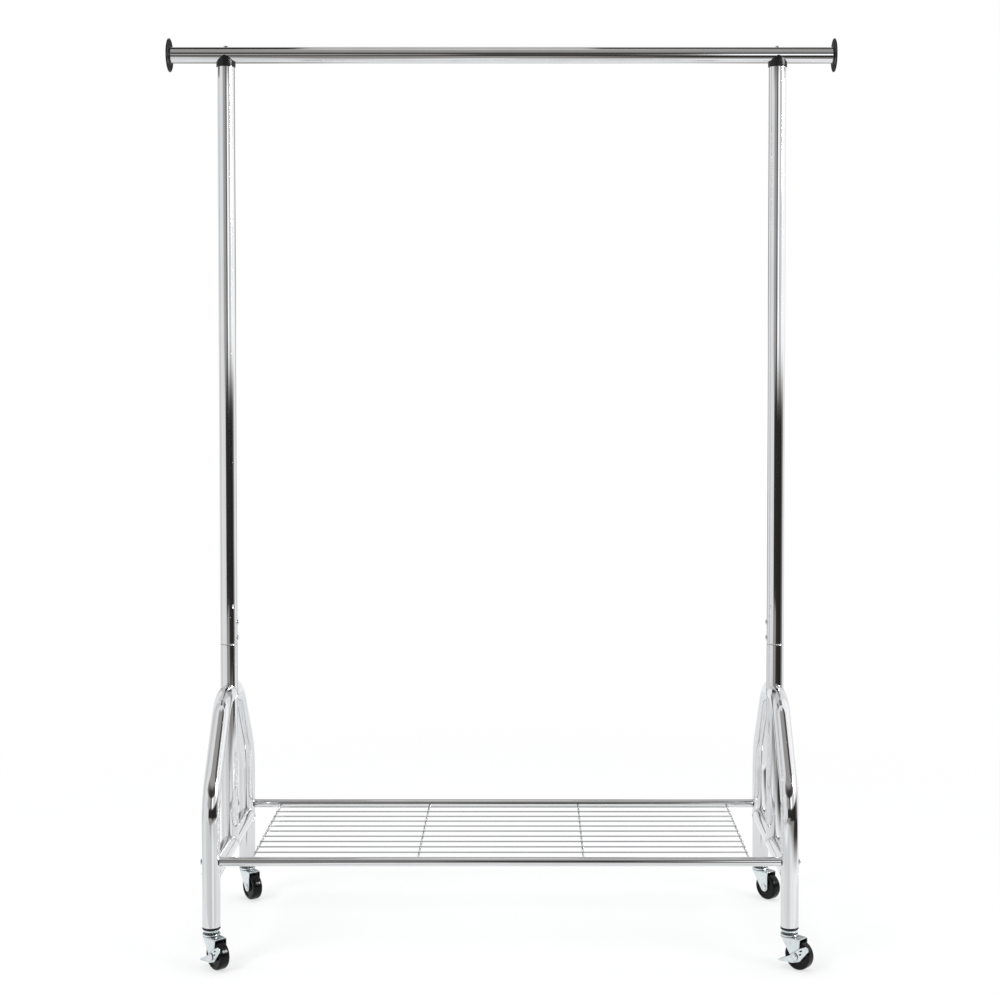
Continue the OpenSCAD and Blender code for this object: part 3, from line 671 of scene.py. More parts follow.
class RACK_OT_cross_bars(bpy.types.Operator):
    """The cross bars: tubes along Y, coped to the legs at both ends"""
    bl_idname = "rack.cross_bars"
    bl_label = "Cross bars"

    def execute(self, context):
        sides = context.scene.rack_look.sides
        end = LEG_Y - cope(TUBE_R * np.cos(ring_angles(sides)))
        for side, name in SIDES:
            tube = straight_tube((0, 1, 0), (side * POST_X, 0, CROSS_Z), -end, end, TUBE_R, 5, sides)
            new_piece(f"{name}_cross_tube", [tube], "chrome_tube", [f"{name}_cross_bar"])
        return {"FINISHED"}


class RACK_OT_weld_beads(bpy.types.Operator):
    """Weld beads: thin rods along the curves where tube meets tube, with a fine ripple in their radius"""
    bl_idname = "rack.weld_beads"
    bl_label = "Weld beads"

    def execute(self, context):
        a = np.linspace(0, 2 * math.pi, 121)
        reach = np.abs(np.cos(a)) * TUBE_R
        off, bead_r, ripple, ripples = 0.4, 1.15, 0.12, 34
        radius = bead_r + ripple * np.sin(a * ripples)
        round_z = (TUBE_R + 0.1) * np.cos(a)
        curves = [(sy * y, z) for sy in (-1, 1) for y, z in (
            (reach + off, ARCH_Z + round_z), (LEG_Y - reach - off, CROSS_Z + round_z))]
        curves.append((round_z, CROSS_Z + reach + off))
        for side, name in SIDES:
            x = side * POST_X + TUBE_R * np.sin(a)
            beads = [swept(join(x, y, z), radius, 12) for y, z in curves]
            new_piece(f"{name}_weld_beads", beads, "chrome_tube")
        return {"FINISHED"}


class RACK_OT_shelf(bpy.types.Operator):
    """The shelf: coped rails, round-ended long wires, cross wires, and a small weld at each meeting"""
    bl_idname = "rack.shelf"
    bl_label = "Shelf"

    def execute(self, context):
        sides = 64
        end = POST_X - cope(RAIL_R * np.sin(ring_angles(sides)))
        for sy, name in ((-1, "front"), (1, "rear")):
            tube = straight_tube((1, 0, 0), (0, sy * LEG_Y, RAIL_Z), -end, end, RAIL_R, 5, sides)
            new_piece(f"{name}_rail_tube", [tube], "chrome_tube", [f"{name}_rail"])
        # a long wire stops just past the outer cross wires, with a rounded end
        half = WIRE_SPAN / 2 + WIRE_R + 0.4
        turn = np.radians(np.linspace(0, 90, 6))
        end_x, end_r = half - LONG_R * (1 - np.cos(turn)), np.maximum(LONG_R * np.sin(turn), 0.02)
        x = np.concatenate([-end_x, np.linspace(LONG_R - half, half - LONG_R, 21)[1:-1], end_x[::-1]])
        radius = np.concatenate([end_r, np.full(19, LONG_R), end_r[::-1]])
        ys = (np.arange(LONG_N) - (LONG_N - 1) / 2) * LONG_PITCH
        xs = (np.arange(WIRE_N) - (WIRE_N - 1) / 2) * WIRE_SPAN / (WIRE_N - 1)
        rods = [swept(join(x, y, LONG_Z), radius, 16) for y in ys]
        new_piece("shelf_long_rods", rods, "chrome_tube", ["shelf_long_wires"], look="chrome_wire_look")
        # a cross wire runs from rail to rail, with a bead under each long wire and at each rail
        end = LEG_Y - math.sqrt((RAIL_R + COPE_GAP) ** 2 - (CROSS_WIRE_Z - RAIL_Z) ** 2) + 0.4
        bead_z, rail_ys = (LONG_Z + CROSS_WIRE_Z) / 2 + 0.2, (0.6 - end, end - 0.6)
        wire_bead, rail_bead = (1.9, 2.1, 1.0), (2.7, 1.6, 2.5)
        rods = [swept(join(at, np.linspace(-end, end, 15), CROSS_WIRE_Z), WIRE_R, 20) for at in xs]
        rods += [ellipsoid((at, y, bead_z), wire_bead) for at in xs for y in ys]
        rods += [ellipsoid((at, y, CROSS_WIRE_Z), rail_bead) for at in xs for y in rail_ys]
        new_piece("shelf_cross_rods", rods, "chrome_tube", ["shelf_cross_wires"], look="chrome_wire_look")
        return {"FINISHED"}


class RACK_OT_fasteners(bpy.types.Operator):
    """The pan heads on the bar, at the posts' joints and outside the rails' ends"""
    bl_idname = "rack.fasteners"
    bl_label = "Fasteners"

    def execute(self, context):
        low, high = heights("post_screws")
        head_r = JOINT_HEAD[0] / 2
        bar = [pan_head((s * POST_X, 0, BAR_Z + BAR_R), (0, 0, 1), *BAR_HEAD) for s in (-1, 1)]
        joint = [pan_head((s * (POST_X - TUBE_R), 0, z), (-s, 0, 0), *JOINT_HEAD)
                 for s in (-1, 1) for z in (low + head_r, high - head_r)]
        rail = [pan_head((sx * (POST_X + TUBE_R), sy * LEG_Y, RAIL_Z), (sx, 0, 0), *RAIL_HEAD)
                for sx, sy in CORNERS.values()]
        new_piece("hang_bar_heads", bar, "zinc_plate", ["hang_bar_bolts"], look="bolt_look")
        new_piece("post_screw_heads", joint, "zinc_plate", ["post_screws"], look="bolt_look")
        new_piece("rail_bolt_heads", rail, "zinc_plate", ["rail_bolts"], look="bolt_look")
        return {"FINISHED"}


class RACK_OT_caster_mounts(bpy.types.Operator):
    """The sockets' flanges under the legs, and the stems' collars and necks"""
    bl_idname = "rack.caster_mounts"
    bl_label = "Caster mounts"

    def execute(self, context):
        flange = lathe(np.concatenate([
            [(5.6, COLLAR_TOP), (15.0, COLLAR_TOP)], arc((15.1, COLLAR_TOP + 0.9), 0.9, -90, 0, 5),
            arc((15.4, LEG_LOW - 0.6), 0.6, 0, 90, 4), [(5.6, LEG_LOW)]]), 96)
        collar = lathe(np.concatenate([
            [(3.6, RACE_TOP + 0.3), (8.1, RACE_TOP + 0.3), (8.5, RACE_TOP + 0.7), (8.5, COLLAR_LOW - 0.4)],
            [(8.9, COLLAR_LOW)], arc((13.35, COLLAR_LOW + 0.9), 0.9, -90, 0, 6),
            arc((13.05, COLLAR_TOP - 1.2), 1.2, 0, 90, 6), [(3.6, COLLAR_TOP)]]), 96)
        pin = lathe([(0, 51.7), (4.9, 51.7), (5.5, 52.2), (5.5, 54.1), (3.5, 54.1), (3.5, 60), (0, 60)], 48)
        sockets, stems = [], []
        for corner in CORNERS:
            sockets += at_corner([flange], corner)
            stems += at_corner([collar, pin], corner)
        new_piece("caster_socket_rings", sockets, "black_plastic", ["caster_sockets"])
        new_piece("caster_stem_collars", stems, "zinc_plate", ["caster_stems"])
        return {"FINISHED"}


def fork_parts():
    """A pressed fork in its own axes: one bent sheet over the wheel, and the race ring on its roof.

    The sheet's columns run from one side's foot up, over the roof and down the other side. Its rows run from
    the leading edge back to the trailing edge.
    """
    axle_z, end_r, roof_r, bend, lead_x, bow = WHEEL_R, 8.5, 16.0, 2.6, -11.0, 0.6
    back, thickness, edge_cut = TRAIL + end_r, 1.6, 0.35
    bend_z = (ROOF_LOW + ROOF_TOP) / 2 - bend
    side_y = (FORK_IN + FORK_OUT) / 2
    foot = axle_z - end_r * np.cos(np.linspace(0, math.pi / 2, 15))
    # across holds the middle of the sheet and its outward direction: y, z, then the same for the normal
    across = [(-side_y, z, -1.0, 0.0) for z in np.append(foot, np.linspace(axle_z, bend_z, 12)[1:])]
    across += [(-side_y + bend * (1 - math.cos(a)), bend_z + bend * math.sin(a), -math.cos(a), math.sin(a))
               for a in np.radians(np.linspace(0, 90, 9))[1:]]
    across += [(y, bend_z + bend, 0.0, 1.0) for y in np.linspace(-side_y + bend, 0, 9)[1:]]
    across += [(-y, z, -ny, nz) for y, z, ny, nz in across[-2::-1]]
    # the leading edge runs from the roof's front, straight, to where it touches the round end
    run = np.array([TRAIL - lead_x, axle_z - ROOF_TOP])
    lean = math.atan2(run[1], run[0]) - math.asin(end_r / np.linalg.norm(run))
    touch_x, touch_z = TRAIL + end_r * math.sin(lean), axle_z - end_r * math.cos(lean)
    inner, outer = [], []
    for y, z, ny, nz in across:
        round_x = math.sqrt(max(end_r ** 2 - (z - axle_z) ** 2, 0))
        if nz > 0.98:
            lead = min(-math.sqrt(max(roof_r ** 2 - y * y, 0)), lead_x)
        elif z > touch_z:
            lead = lead_x + (ROOF_TOP - z) / (ROOF_TOP - touch_z) * (touch_x - lead_x)
            lead -= bow * smooth(z, 48, 55.2)
        else:
            lead = TRAIL - round_x
        trail = back if z > axle_z else TRAIL + round_x
        x = lead + (trail - lead) * np.linspace(0, 1, 29)
        near = np.minimum(x - lead, trail - x)
        half = thickness / 2 - edge_cut * (1 - smooth(near, 0, thickness / 2))
        outer.append(join(x, y + half * ny, z + half * nz))
        inner.append(join(x, y - half * ny, z - half * nz)[::-1])
    grid = np.concatenate([outer, inner], 1)
    parts = [outward(surface(grid))]
    for row, turn in ((grid[0], True), (grid[-1], False)):
        parts.append(surface([row, np.repeat(row.mean(0)[None], len(row), 0)], turn=turn))
    parts.append(lathe(np.concatenate([
        [(3.56, ROOF_TOP - 0.2), (14.6, ROOF_TOP - 0.2), (14.6, ROOF_TOP + 0.45)],
        arc((15.4, ROOF_TOP + 1.05), 0.6, -90, 0, 4), arc((15.0, RACE_TOP - 1.0), 1.0, 0, 90, 6),
        [(13.4, RACE_TOP)], arc((11.4, RACE_TOP + 0.8), 2.0, -20, -160, 9),
        [(9.3, RACE_TOP), (3.56, RACE_TOP)]]), 96))
    return parts


class RACK_OT_forks(bpy.types.Operator):
    """The four forks"""
    bl_idname = "rack.forks"
    bl_label = "Forks"

    def execute(self, context):
        caster_pieces("fork_plate", fork_parts(), "zinc_plate", "fork", "swivel")
        return {"FINISHED"}


def wheel_part():
    """A moulded wheel about the Y axis: tread with a parting ridge, round shoulders, dished webs, hub."""
    r, half, bore, hub = WHEEL_R, 10.0, 5.06, 10.7
    side = np.concatenate([
        [(bore, hub - 0.4), (bore + 0.4, hub)], arc((8.7, hub - 0.8), 0.8, 90, 0, 5),
        [(9.5, 9.2)], arc((10.7, 9.2), 1.2, 180, 270, 5), [(15.2, 8.0)], arc((17.2, 9.9), 1.9, 270, 330, 5),
        arc((19.2, 9.0), 1.0, 130, 90, 4), arc((r - 5, half - 5), 5.0, 88, 8, 12),
        [(r - 0.02, 4.2), (r, 0.5), (r, 0.25)]])
    profile = np.concatenate([side, [(r - 0.12, 0)], side[::-1] * [1, -1]])
    return lathe(profile, 160, placing((TRAIL, 0, WHEEL_R), (0, 1, 0)))


class RACK_OT_wheels(bpy.types.Operator):
    """The four wheels"""
    bl_idname = "rack.wheels"
    bl_label = "Wheels"

    def execute(self, context):
        caster_pieces("wheel_moulding", [wheel_part()], "wheel_tread", "wheel", "roller")
        return {"FINISHED"}


class RACK_OT_axles(bpy.types.Operator):
    """The axle bolts: a domed head on a thin flange, and a chamfered hexagonal nut with the bolt's end"""
    bl_idname = "rack.axles"
    bl_label = "Axles"

    def execute(self, context):
        angle = ring_angles(96)
        hexagon = 5.0 / np.cos((angle + math.pi / 6) % (math.pi / 3) - math.pi / 6)
        rows = [(0, 0.0)]
        rows += [(np.minimum(hexagon, cone), z)
                 for z, cone in ((0.0, 5.55), (0.35, 5.9), (3.5, 5.9), (4.0, 5.2))]
        rows += [(3.3, 4.0), (3.0, 3.7), (3.0, 4.7), (2.6, 5.0), (0, 5.0)]
        nut = moved(outward(surface([ring(angle, r, z) for r, z in rows])),
                    placing((TRAIL, FORK_OUT, WHEEL_R), (0, 1, 0)))
        dome = np.concatenate([[(0, -0.5), (5.6, -0.5), (5.6, 0)], [(6.0, 0.15), (6.0, 0.55), (5.7, 0.75)],
                               arc((0, -6.2), 8.8, 52, 90, 12)])
        for corner, (_, sy) in CORNERS.items():
            out = LEVER_OUT + 0.3 if sy < 0 else FORK_OUT
            head = lathe(dome, 72, placing((TRAIL, -out, WHEEL_R), (0, -1, 0)))
            # the dome is cut flat 2.6 mm out from the plate
            head[0][:, 1] = np.maximum(head[0][:, 1], -out - 2.6)
            shank = lathe([(0, 0), (2.95, 0), (2.95, out + FORK_OUT), (0, out + FORK_OUT)], 32,
                          placing((TRAIL, -out, WHEEL_R), (0, 1, 0)))
            new_piece(f"{corner}_axle_bolt", at_corner([head, shank, nut], corner), "zinc_plate",
                      [f"{corner}_axle"], f"{corner}_swivel", "bolt_look")
        return {"FINISHED"}


def lever_outline():
    """The brake plate's outline about the axle, as points every 0.7 mm, its corners softened by averaging."""
    outline = np.concatenate([[(-36, -13), (-10.7, 0), (9.6, 15.5)], arc((23.0, 16.5), 5.2, 120, -40, 9),
                              [(9.7, -7.2), (-5.5, -12.2), (-35.1, -14.8)]])
    dense = []
    for p, q in zip(outline, np.roll(outline, -1, 0)):
        n = max(2, int(np.linalg.norm(q - p) / 0.7))
        dense += [p + (q - p) * k / n for k in range(n)]
    edge = np.array(dense)
    for _ in range(3):
        edge = (edge * 2 + np.roll(edge, 1, 0) + np.roll(edge, -1, 0)) / 4
    return edge


def lever_plate():
    """A brake plate, as a grid polar about the axle with two slots cut through it.

    The plate's surface rises into a rolled rim towards its outline and rounds off at the very edge.
    """
    bore_r, slot_r, rim_rise, edge_drop = 3.1, 1.3, 0.55, 0.45
    edge = lever_outline()
    inside = bore_r * edge / np.linalg.norm(edge, axis=1)[:, None]
    steps = np.concatenate([np.linspace(0, 0.9, 30), np.linspace(0.92, 1, 7)])
    grid = inside[None] + (edge - inside)[None] * steps[:, None, None]
    # slots: the nearest point of each slot's middle line, and how far off it a grid point is
    centre, off = grid.copy(), np.full(grid.shape[:2], 99.0)
    for start in ((9.5, 5.0), (11.0, 11.5)):
        p, way = np.array(start), np.array([3.0, 1.5])
        on = p + np.clip(((grid - p) @ way) / (way @ way), 0, 1)[..., None] * way
        far = np.linalg.norm(grid - on, axis=-1)
        centre, off = np.where((far < off)[..., None], on, centre), np.minimum(off, far)
    rows, cols = off.shape
    cell = (off[:-1] + off[1:] + np.roll(off[:-1], -1, 1) + np.roll(off[1:], -1, 1)) / 4
    holes = {tuple(k) for k in np.argwhere(cell < slot_r).tolist()}
    walls = []
    for r, c in holes:
        loop = [(r, c), (r, (c + 1) % cols), (r + 1, (c + 1) % cols), (r + 1, c)]
        beside = [(r - 1, c), (r, (c + 1) % cols), (r + 1, c), (r, (c - 1) % cols)]
        walls += [(loop[k], loop[(k + 1) % 4]) for k in range(4) if beside[k] not in holes]
    for r, c in {point for wall in walls for point in wall}:
        grid[r, c] = centre[r, c] + (grid[r, c] - centre[r, c]) * slot_r / max(off[r, c], 1e-6)
    gap = np.linalg.norm(grid[:, :, None] - edge[None, None], axis=-1).min(-1)
    rim = rim_rise * (1 - smooth(gap, 0.6, 2.4)) - edge_drop * (1 - smooth(gap, 0.0, 0.6)) ** 2
    front, rear = (join(grid[..., 0] + TRAIL, -y, grid[..., 1] + WHEEL_R)
                   for y in (LEVER_OUT - rim_rise + rim, LEVER_IN + 0.15 * (1 - smooth(gap, 0, 0.5))))
    points, quads, flow = surface(np.concatenate([front, rear[::-1]]), wrap_rows=True)
    gone = {r * cols + c for r, c in holes} | {(2 * rows - 2 - r) * cols + c for r, c in holes}
    quads = quads[[k not in gone for k in range(len(quads))]]
    # a quad of surface() goes (r, c), (r, c + 1), (r + 1, c + 1), (r + 1, c): a wall runs its lost edge's way
    last = 2 * rows - 1
    quads = np.concatenate([quads, [
        [r0 * cols + c0, r1 * cols + c1, (last - r1) * cols + c1, (last - r0) * cols + c0]
        for (r0, c0), (r1, c1) in walls]])
    used = np.unique(quads)
    return outward((points[used], np.searchsorted(used, quads), flow[used]))


def lever_pedal():
    """A brake pedal: a rounded slab bent inwards off the plate's tip, with fine ribs across its top."""
    tip_x, tip_z, size = -36.0, -13.0, (9.2, 15.2, 1.6)
    reach, rib_pitch, rib_width, rib_height = 4.9, 2.4, 0.45, 0.35
    lean = math.atan2(-tip_z, -tip_x - 10.7)
    place = placing((tip_x + TRAIL, 0, WHEEL_R + tip_z), (math.sin(-lean), 0, math.cos(lean)),
                    (math.cos(lean), 0, math.sin(lean)))
    parts = []
    for slab, quads, flow in soft_slab(size, 0.6):
        x, y, z = slab.T
        rib = rib_height * np.exp(-((((x + reach - 1.6) % rib_pitch) - rib_pitch / 2) / rib_width) ** 2)
        rib *= (z > 0.3) * (1 - smooth(np.abs(y), 5.6, 6.6)) * (1 - smooth(np.abs(x), 3.6, 4.4))
        points = join(x + reach, y - LEVER_OUT + 0.2 + size[1] / 2, z - 1.0 + rib)
        parts.append(moved((points, quads, flow), place))
    return parts


class RACK_OT_brake_levers(bpy.types.Operator):
    """The two brake levers"""
    bl_idname = "rack.brake_levers"
    bl_label = "Brake levers"

    def execute(self, context):
        caster_pieces("brake_plate", [lever_plate()] + lever_pedal(), "zinc_plate", "brake_lever", "brake",
                      ("front_left", "front_right"))
        return {"FINISHED"}


# ---- stage ----

# The camera's place in metres, its tilt down in degrees, its lens in millimetres and its shift
CAMERA_PLACE, CAMERA_TILT = (0.0526, -3.2683, 1.0966), 1.837
CAMERA_LENS, CAMERA_SHIFT = 63.42, (-0.0303, -0.10)

# Cards, in metres: their height on the floor, and below what height they count as floor
FLOOR_Z, FLOOR_TOP = 0.004, 0.01

# Where a card starts on the floor, in metres from the middle, and the front card's line in front of it
CARD_START, FRONT_START = 0.72, 0.26

# Where the streaks on the floor start, in metres to either side and to the front of the middle
STREAK_X, STREAK_Y = 0.509, 0.197

# Strength of the lamp box that the front card shows
SOFTBOX_GLOW = 40.0


def seen_by(tree, *kinds):
    """An output that is 1 for rays of these kinds and 0 for others."""
    rays = add(tree, "ShaderNodeLightPath")
    seen = rays.outputs[f"Is {kinds[0]} Ray"]
    for kind in kinds[1:]:
        seen = math_node(tree, "MAXIMUM", seen, rays.outputs[f"Is {kind} Ray"])
    return seen


def mix_shaders(tree, share, first, second, out):
    """Sends two shaders, mixed by a share, to an output node's surface."""
    mix = add(tree, "ShaderNodeMixShader", (share, first.outputs[0], second.outputs[0]))
    tree.links.new(mix.outputs[0], out.inputs["Surface"])


def stage_mesh(scene, name, grid, material, wrap_cols=True):
    """A mesh object of the stage, over a grid of points in metres."""
    points, quads, _ = surface(grid, wrap_cols=wrap_cols)
    mesh = bpy.data.meshes.new(name)
    mesh.from_pydata(points.tolist(), [], quads.tolist())
    mesh.materials.append(material)
    obj = bpy.data.objects.new(name, mesh)
    scene.collection.objects.link(obj)
    return obj


def blend(a, b, t):
    """From a, where t is 0, to b, where t is 1."""
    return a + (b - a) * t


def front_glow(azimuth, height, x, y):
    """Black low down, beyond a pale floor; above, grey with bright upright strips, then black, then grey."""
    foot = np.interp(azimuth, (-30, -24, 0, 8, 48, 55, 92, 97), (0.95, 0.3, 0.45, 0.3, 0.35, 0.03, 0.05, 1.0))
    low = np.interp(azimuth, (-30, -24, 62, 70, 76, 90, 97), (0.95, 0.035, 0.025, 0.03, 0.2, 0.22, 1.0))
    high = np.interp(azimuth, (-46, -40, -27, -15, -5, -2, 6, 10, 13, 29, 32, 38, 41, 52, 56, 60, 100),
                     (0.95, 0.62, 0.42, 0.44, 0.32, 0.1, 0.1, 0.35, 1.45, 1.45, 0.6, 0.55, 0.9, 0.8, 0.5,
                      1.35, 1.3))
    upper = np.interp(azimuth, (-60, -55, -45, -35, -20, 30, 45, 55, 65, 75),
                      (0.45, 0.34, 0.21, 0.12, 0.05, 0.05, 0.12, 0.4, 0.9, 1.25))
    sky = np.interp(azimuth, (-58, -46, 44, 50, 72, 78), (0.95, 0.4, 0.4, 0.1, 0.1, 1.2))
    box = np.interp(azimuth, (66, 68, 79, 81), (0, 1, 1, 0))
    box = box * np.interp(height, (1.66, 1.74, 3.1, 3.25), (0, 1, 1, 0))
    value = blend(low, high, smooth(height, 0.8, 1.12))
    value = blend(value, upper, smooth(height, 2.15, 2.35))
    value = blend(value, sky, smooth(height, 3.1, 4.6))
    value = blend(value, 1.0, smooth(height, 8.6, 9.2)) + SOFTBOX_GLOW * box
    # the pale floor, with soft streaks that run out from each front leg
    about = np.degrees(np.arctan2(x - np.sign(x) * STREAK_X, -(y + STREAK_Y)))
    left = np.interp(about, (-100, -68, -40, -14, 10, 16, 24, 33, 39, 46, 61, 75, 108),
                     (0.8, 0.88, 0.85, 0.8, 0.74, 0.78, 1.02, 1.2, 1.15, 0.84, 0.82, 0.99, 0.96))
    right = np.interp(about, (-120, -55, -30, -17, -5, 7, 32, 60, 91),
                      (0.92, 0.95, 0.85, 0.84, 0.95, 1.1, 1.1, 1.2, 1.2))
    tail = np.interp(azimuth, (-30, -24, 2, 12, 62, 70, 76, 90, 97),
                     (0.95, 0.3, 0.42, 0.04, 0.025, 0.03, 0.2, 0.22, 1.0))
    reach = np.hypot(x, y)
    dark = smooth(reach, 1.05, 1.4) * np.interp(azimuth, (-34, -28, 88, 94), (0, 1, 1, 0))
    ground = blend(blend(np.where(x < 0, left, right), foot, dark), tail, smooth(reach, 1.7, 2.5))
    return np.where(height < FLOOR_TOP, ground, value)


def with_pale_floor(value, height, x, y):
    """The same glow, but pale on the floor near the rack."""
    return np.where(height < FLOOR_TOP, blend(0.93, value, smooth(np.hypot(x, y), 1.2, 1.8)), value)


def back_glow(azimuth, height, x, y):
    """Grey beside a pale middle low down and a dark one higher up, so the rack's rear reads against white."""
    low = np.interp(azimuth, (148, 154, 160, 166, 194, 200, 206, 212, 220),
                    (1, 0.35, 0.3, 1.0, 1.0, 0.12, 0.15, 0.5, 1))
    high = np.interp(azimuth, (148, 154, 168, 172, 194, 198, 212, 220),
                     (1, 0.5, 0.45, 0.08, 0.08, 0.45, 0.6, 1))
    value = blend(low, high, smooth(height, 1.0, 1.3))
    value = blend(value, 0.75, smooth(height, 2.2, 3.4))
    return with_pale_floor(value, height, x, y)


def side_glow(azimuth, height, x, y):
    """A pale grey that only shades the edges."""
    value = np.interp(azimuth, (-118, -110, -104, -98, -88, -80), (1, 0.9, 0.75, 0.75, 0.9, 0.95))
    return with_pale_floor(value, height, x, y)


# Cards: name, first and last azimuth, glow, radius, height of the wall and rise of the dome above it
CARDS = (("front_card", -60, 125, front_glow, 4.0, 6.2, 3.2),
         ("back_card", 145, 245, back_glow, 2.5, 4.5, 2.0),
         ("side_card", -120, -78, side_glow, 2.5, 4.5, 2.0))

# Lamps: name, place, aim, size and power in watts
LAMPS = (("key_lamp", (-2.6, -2.4, 3.0), (0, 0, 0.8), (1.6, 1.6), 62),
         ("fill_lamp", (2.8, -1.6, 2.2), (0, 0, 0.6), (1.4, 1.8), 30),
         ("top_lamp", (0.0, 0.6, 3.6), (0, 0, 0.5), (2.4, 1.6), 42))


class RACK_OT_stage(bpy.types.Operator):
    """The camera, lamps, world, floor, and the cards that the chrome reflects"""
    bl_idname = "rack.stage"
    bl_label = "Stage"

    def execute(self, context):
        scene = context.scene
        camera = bpy.data.objects.new("camera", bpy.data.cameras.new("camera"))
        scene.collection.objects.link(camera)
        camera.location = CAMERA_PLACE
        camera.rotation_euler = (math.radians(90 - CAMERA_TILT), 0, 0)
        camera.data.lens = CAMERA_LENS
        camera.data.sensor_width = 36
        camera.data.shift_x, camera.data.shift_y = CAMERA_SHIFT
        camera.data.clip_end = 60
        scene.camera = camera
        scene.view_settings.view_transform = "Standard"
        for name, place, aim, size, power in LAMPS:
            lamp = bpy.data.lights.new(name, "AREA")
            lamp.shape, lamp.size, lamp.size_y, lamp.energy = "RECTANGLE", size[0], size[1], power
            obj = bpy.data.objects.new(name, lamp)
            obj.location = place
            x, y, z = np.array(aim, float) - place
            obj.rotation_euler = (math.atan2(math.hypot(x, y), -z), 0, math.atan2(x, -y) + math.pi)
            obj.visible_glossy = False
            scene.collection.objects.link(obj)
        self.world(scene)
        self.floor(scene)
        self.cards(scene)
        return {"FINISHED"}

    def world(self, scene):
        """White to the camera and in reflections, and a soft pale light on everything else."""
        scene.world = bpy.data.worlds.new("studio")
        scene.world.use_nodes = True
        tree = scene.world.node_tree
        tree.nodes.clear()
        out = add(tree, "ShaderNodeOutputWorld")
        soft = add(tree, "ShaderNodeBackground", Color=(0.96, 0.98, 1.0, 1), Strength=0.62)
        white = add(tree, "ShaderNodeBackground", Color=(1, 1, 1, 1), Strength=1.0)
        mix_shaders(tree, seen_by(tree, "Camera", "Glossy", "Transmission"), soft, white, out)

    def floor(self, scene):
        """A plain pale floor that keeps the rack's shadow and fades to white away from it."""
        radii = np.array([[0, 0.4, 0.8, 1.2, 1.8, 2.6, 4.0, 6.0, 9.0]]).T
        material, tree, out = blank_material("floor_look")
        matte = add(tree, "ShaderNodeBsdfDiffuse", Color=(0.93, 0.93, 0.93, 1))
        white = add(tree, "ShaderNodeEmission", Color=(1, 1, 1, 1), Strength=1.0)
        place = add(tree, "ShaderNodeTexCoord").outputs["Object"]
        reach = add(tree, "ShaderNodeVectorMath", (place,), operation="LENGTH")
        fade = remap(tree, reach.outputs["Value"], 0.6, 1.0, 0.5, 1.9)
        share = math_node(tree, "MULTIPLY", fade, seen_by(tree, "Camera", "Glossy"))
        mix_shaders(tree, share, matte, white, out)
        stage_mesh(scene, "floor", ring(ring_angles(64), radii, 0.0), material)

    def cards(self, scene):
        """Grey and black cards round the rack, on the floor and up a dome, which only reflections show.

        Each is a grid over azimuth (0 towards the camera, growing towards +X) and over a run that goes out
        along the floor and then up the dome. The glow comes from the azimuth, the height and the place.
        """
        for name, start, end, glow, radius, top, rise in CARDS:
            rim, hole = radius - 0.01, 0.6
            run = np.concatenate([
                [(reach, FLOOR_Z) for reach in np.linspace(CARD_START, rim, 96)],
                [(radius, z) for z in np.linspace(0.02, top, 220)],
                [(hole + (radius - hole) * math.cos(e), top + rise * math.sin(e))
                 for e in np.linspace(0.1, 1.55, 24)]])
            azimuth = np.arange(start, end + 0.5, 0.5)
            a = np.radians(azimuth)
            # the front card's floor rows start along a line in front of the casters
            front = np.minimum(FRONT_START / np.maximum(np.cos(a), FRONT_START), 1.0)
            first = front if glow is front_glow else 0.9
            share = (run[:, :1] - CARD_START) / (rim - CARD_START)
            far = np.where(run[:, 1:] < FLOOR_TOP, first + (rim - first) * share, run[:, :1])
            grid = join(far * np.sin(a), -far * np.cos(a), run[:, 1:])
            self.card(scene, name, grid, glow(azimuth[None], grid[..., 2], grid[..., 0], grid[..., 1]))
        # a narrow strip over the hang bar, which draws the grey line along its top
        x, y = np.meshgrid(np.linspace(-0.85, 0.85, 120), (-0.12, 0.42))
        value = np.interp(x, (-0.47, -0.43, 0.17, 0.21), (0.04, 0.6, 0.6, 0.12))
        self.card(scene, "overhead_card", join(x, y, 2.25), value)

    def card(self, scene, name, grid, value):
        """One glowing card from its grid of places and the strength at each, seen by reflections only."""
        obj = stage_mesh(scene, name, grid, glow_look(f"{name}_look"), False)
        value = value.ravel()
        # dark places are a little warmer than pale ones
        warm = 0.05 * (1 - smooth(value, 0.1, 0.9)) - 0.005
        colour = join(value * (1 + warm), value, value * (1 - warm))
        colour = np.concatenate([colour, np.ones((len(value), 1))], -1)
        attribute = obj.data.attributes.new("glow", "FLOAT_COLOR", "POINT")
        attribute.data.foreach_set("color", colour.astype(np.float32).ravel())
        obj.visible_camera = obj.visible_diffuse = obj.visible_shadow = obj.visible_transmission = False


# ---- add-on ----

class RACK_PT_panel(bpy.types.Panel):
    """The rack's settings and steps"""
    bl_idname = "RACK_PT_panel"
    bl_label = "Rolling clothes rack"
    bl_space_type = "VIEW_3D"
    bl_region_type = "UI"
    bl_category = "Rack"

    def draw(self, context):
        look = context.scene.rack_look
        for name in ("chrome_roughness", "zinc_dark", "zinc_light", "sides"):
            self.layout.prop(look, name)
        for step in STEPS:
            self.layout.operator(step.bl_idname)


STEPS = (RACK_OT_materials, RACK_OT_hang_bar, RACK_OT_end_flanges, RACK_OT_saddles, RACK_OT_posts,
         RACK_OT_legs, RACK_OT_cross_bars, RACK_OT_weld_beads, RACK_OT_shelf, RACK_OT_fasteners,
         RACK_OT_caster_mounts, RACK_OT_forks, RACK_OT_wheels, RACK_OT_axles, RACK_OT_brake_levers,
         RACK_OT_stage)
CLASSES = (RackLook,) + STEPS + (RACK_PT_panel,)


def register():
    """Registers the classes and the scene's settings."""
    for cls in CLASSES:
        bpy.utils.register_class(cls)
    bpy.types.Scene.rack_look = bpy.props.PointerProperty(type=RackLook)


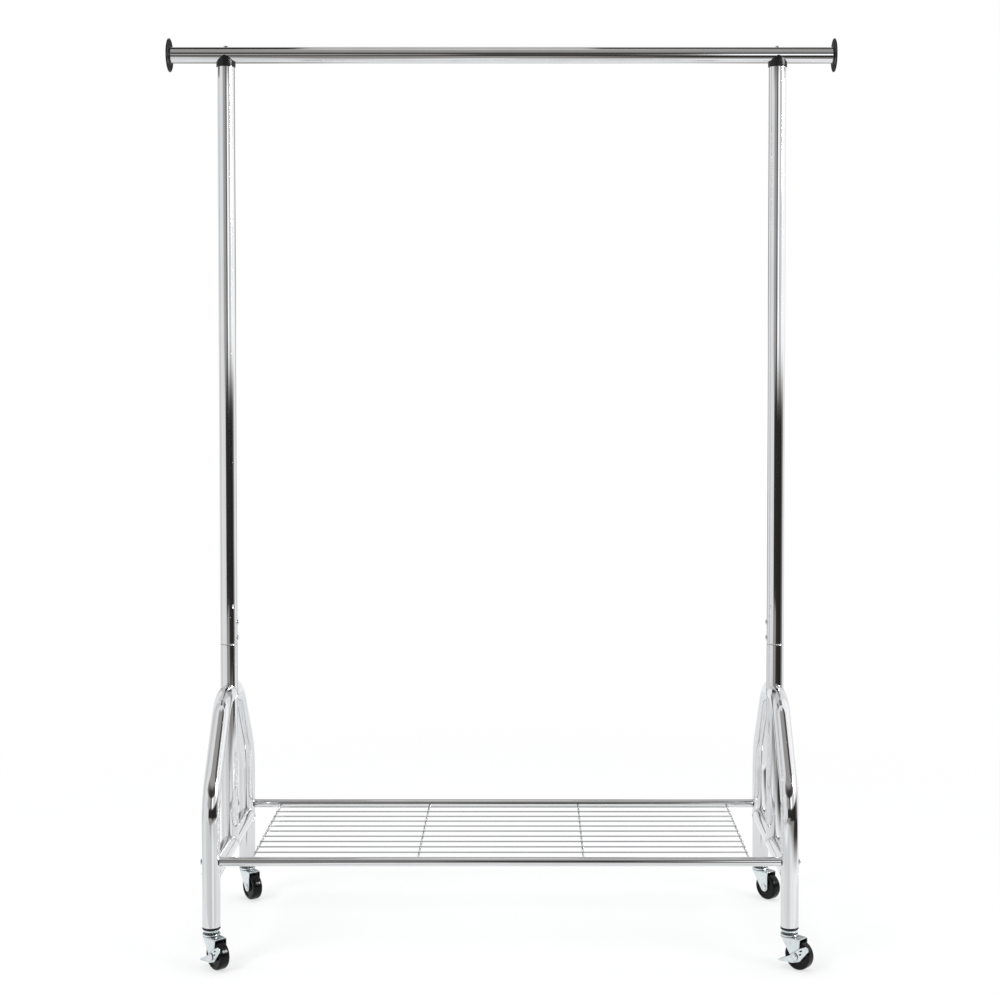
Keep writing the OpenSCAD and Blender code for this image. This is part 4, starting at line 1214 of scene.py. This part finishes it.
def unregister():
    """Takes away what register() added."""
    del bpy.types.Scene.rack_look
    for cls in reversed(CLASSES):
        bpy.utils.unregister_class(cls)


def main():
    """Builds everything."""
    register()
    for step in STEPS:
        group, name = step.bl_idname.split(".")
        if getattr(getattr(bpy.ops, group), name)() != {"FINISHED"}:
            raise RuntimeError(f"{step.bl_idname} didn't finish")


if __name__ == "__main__":
    main()
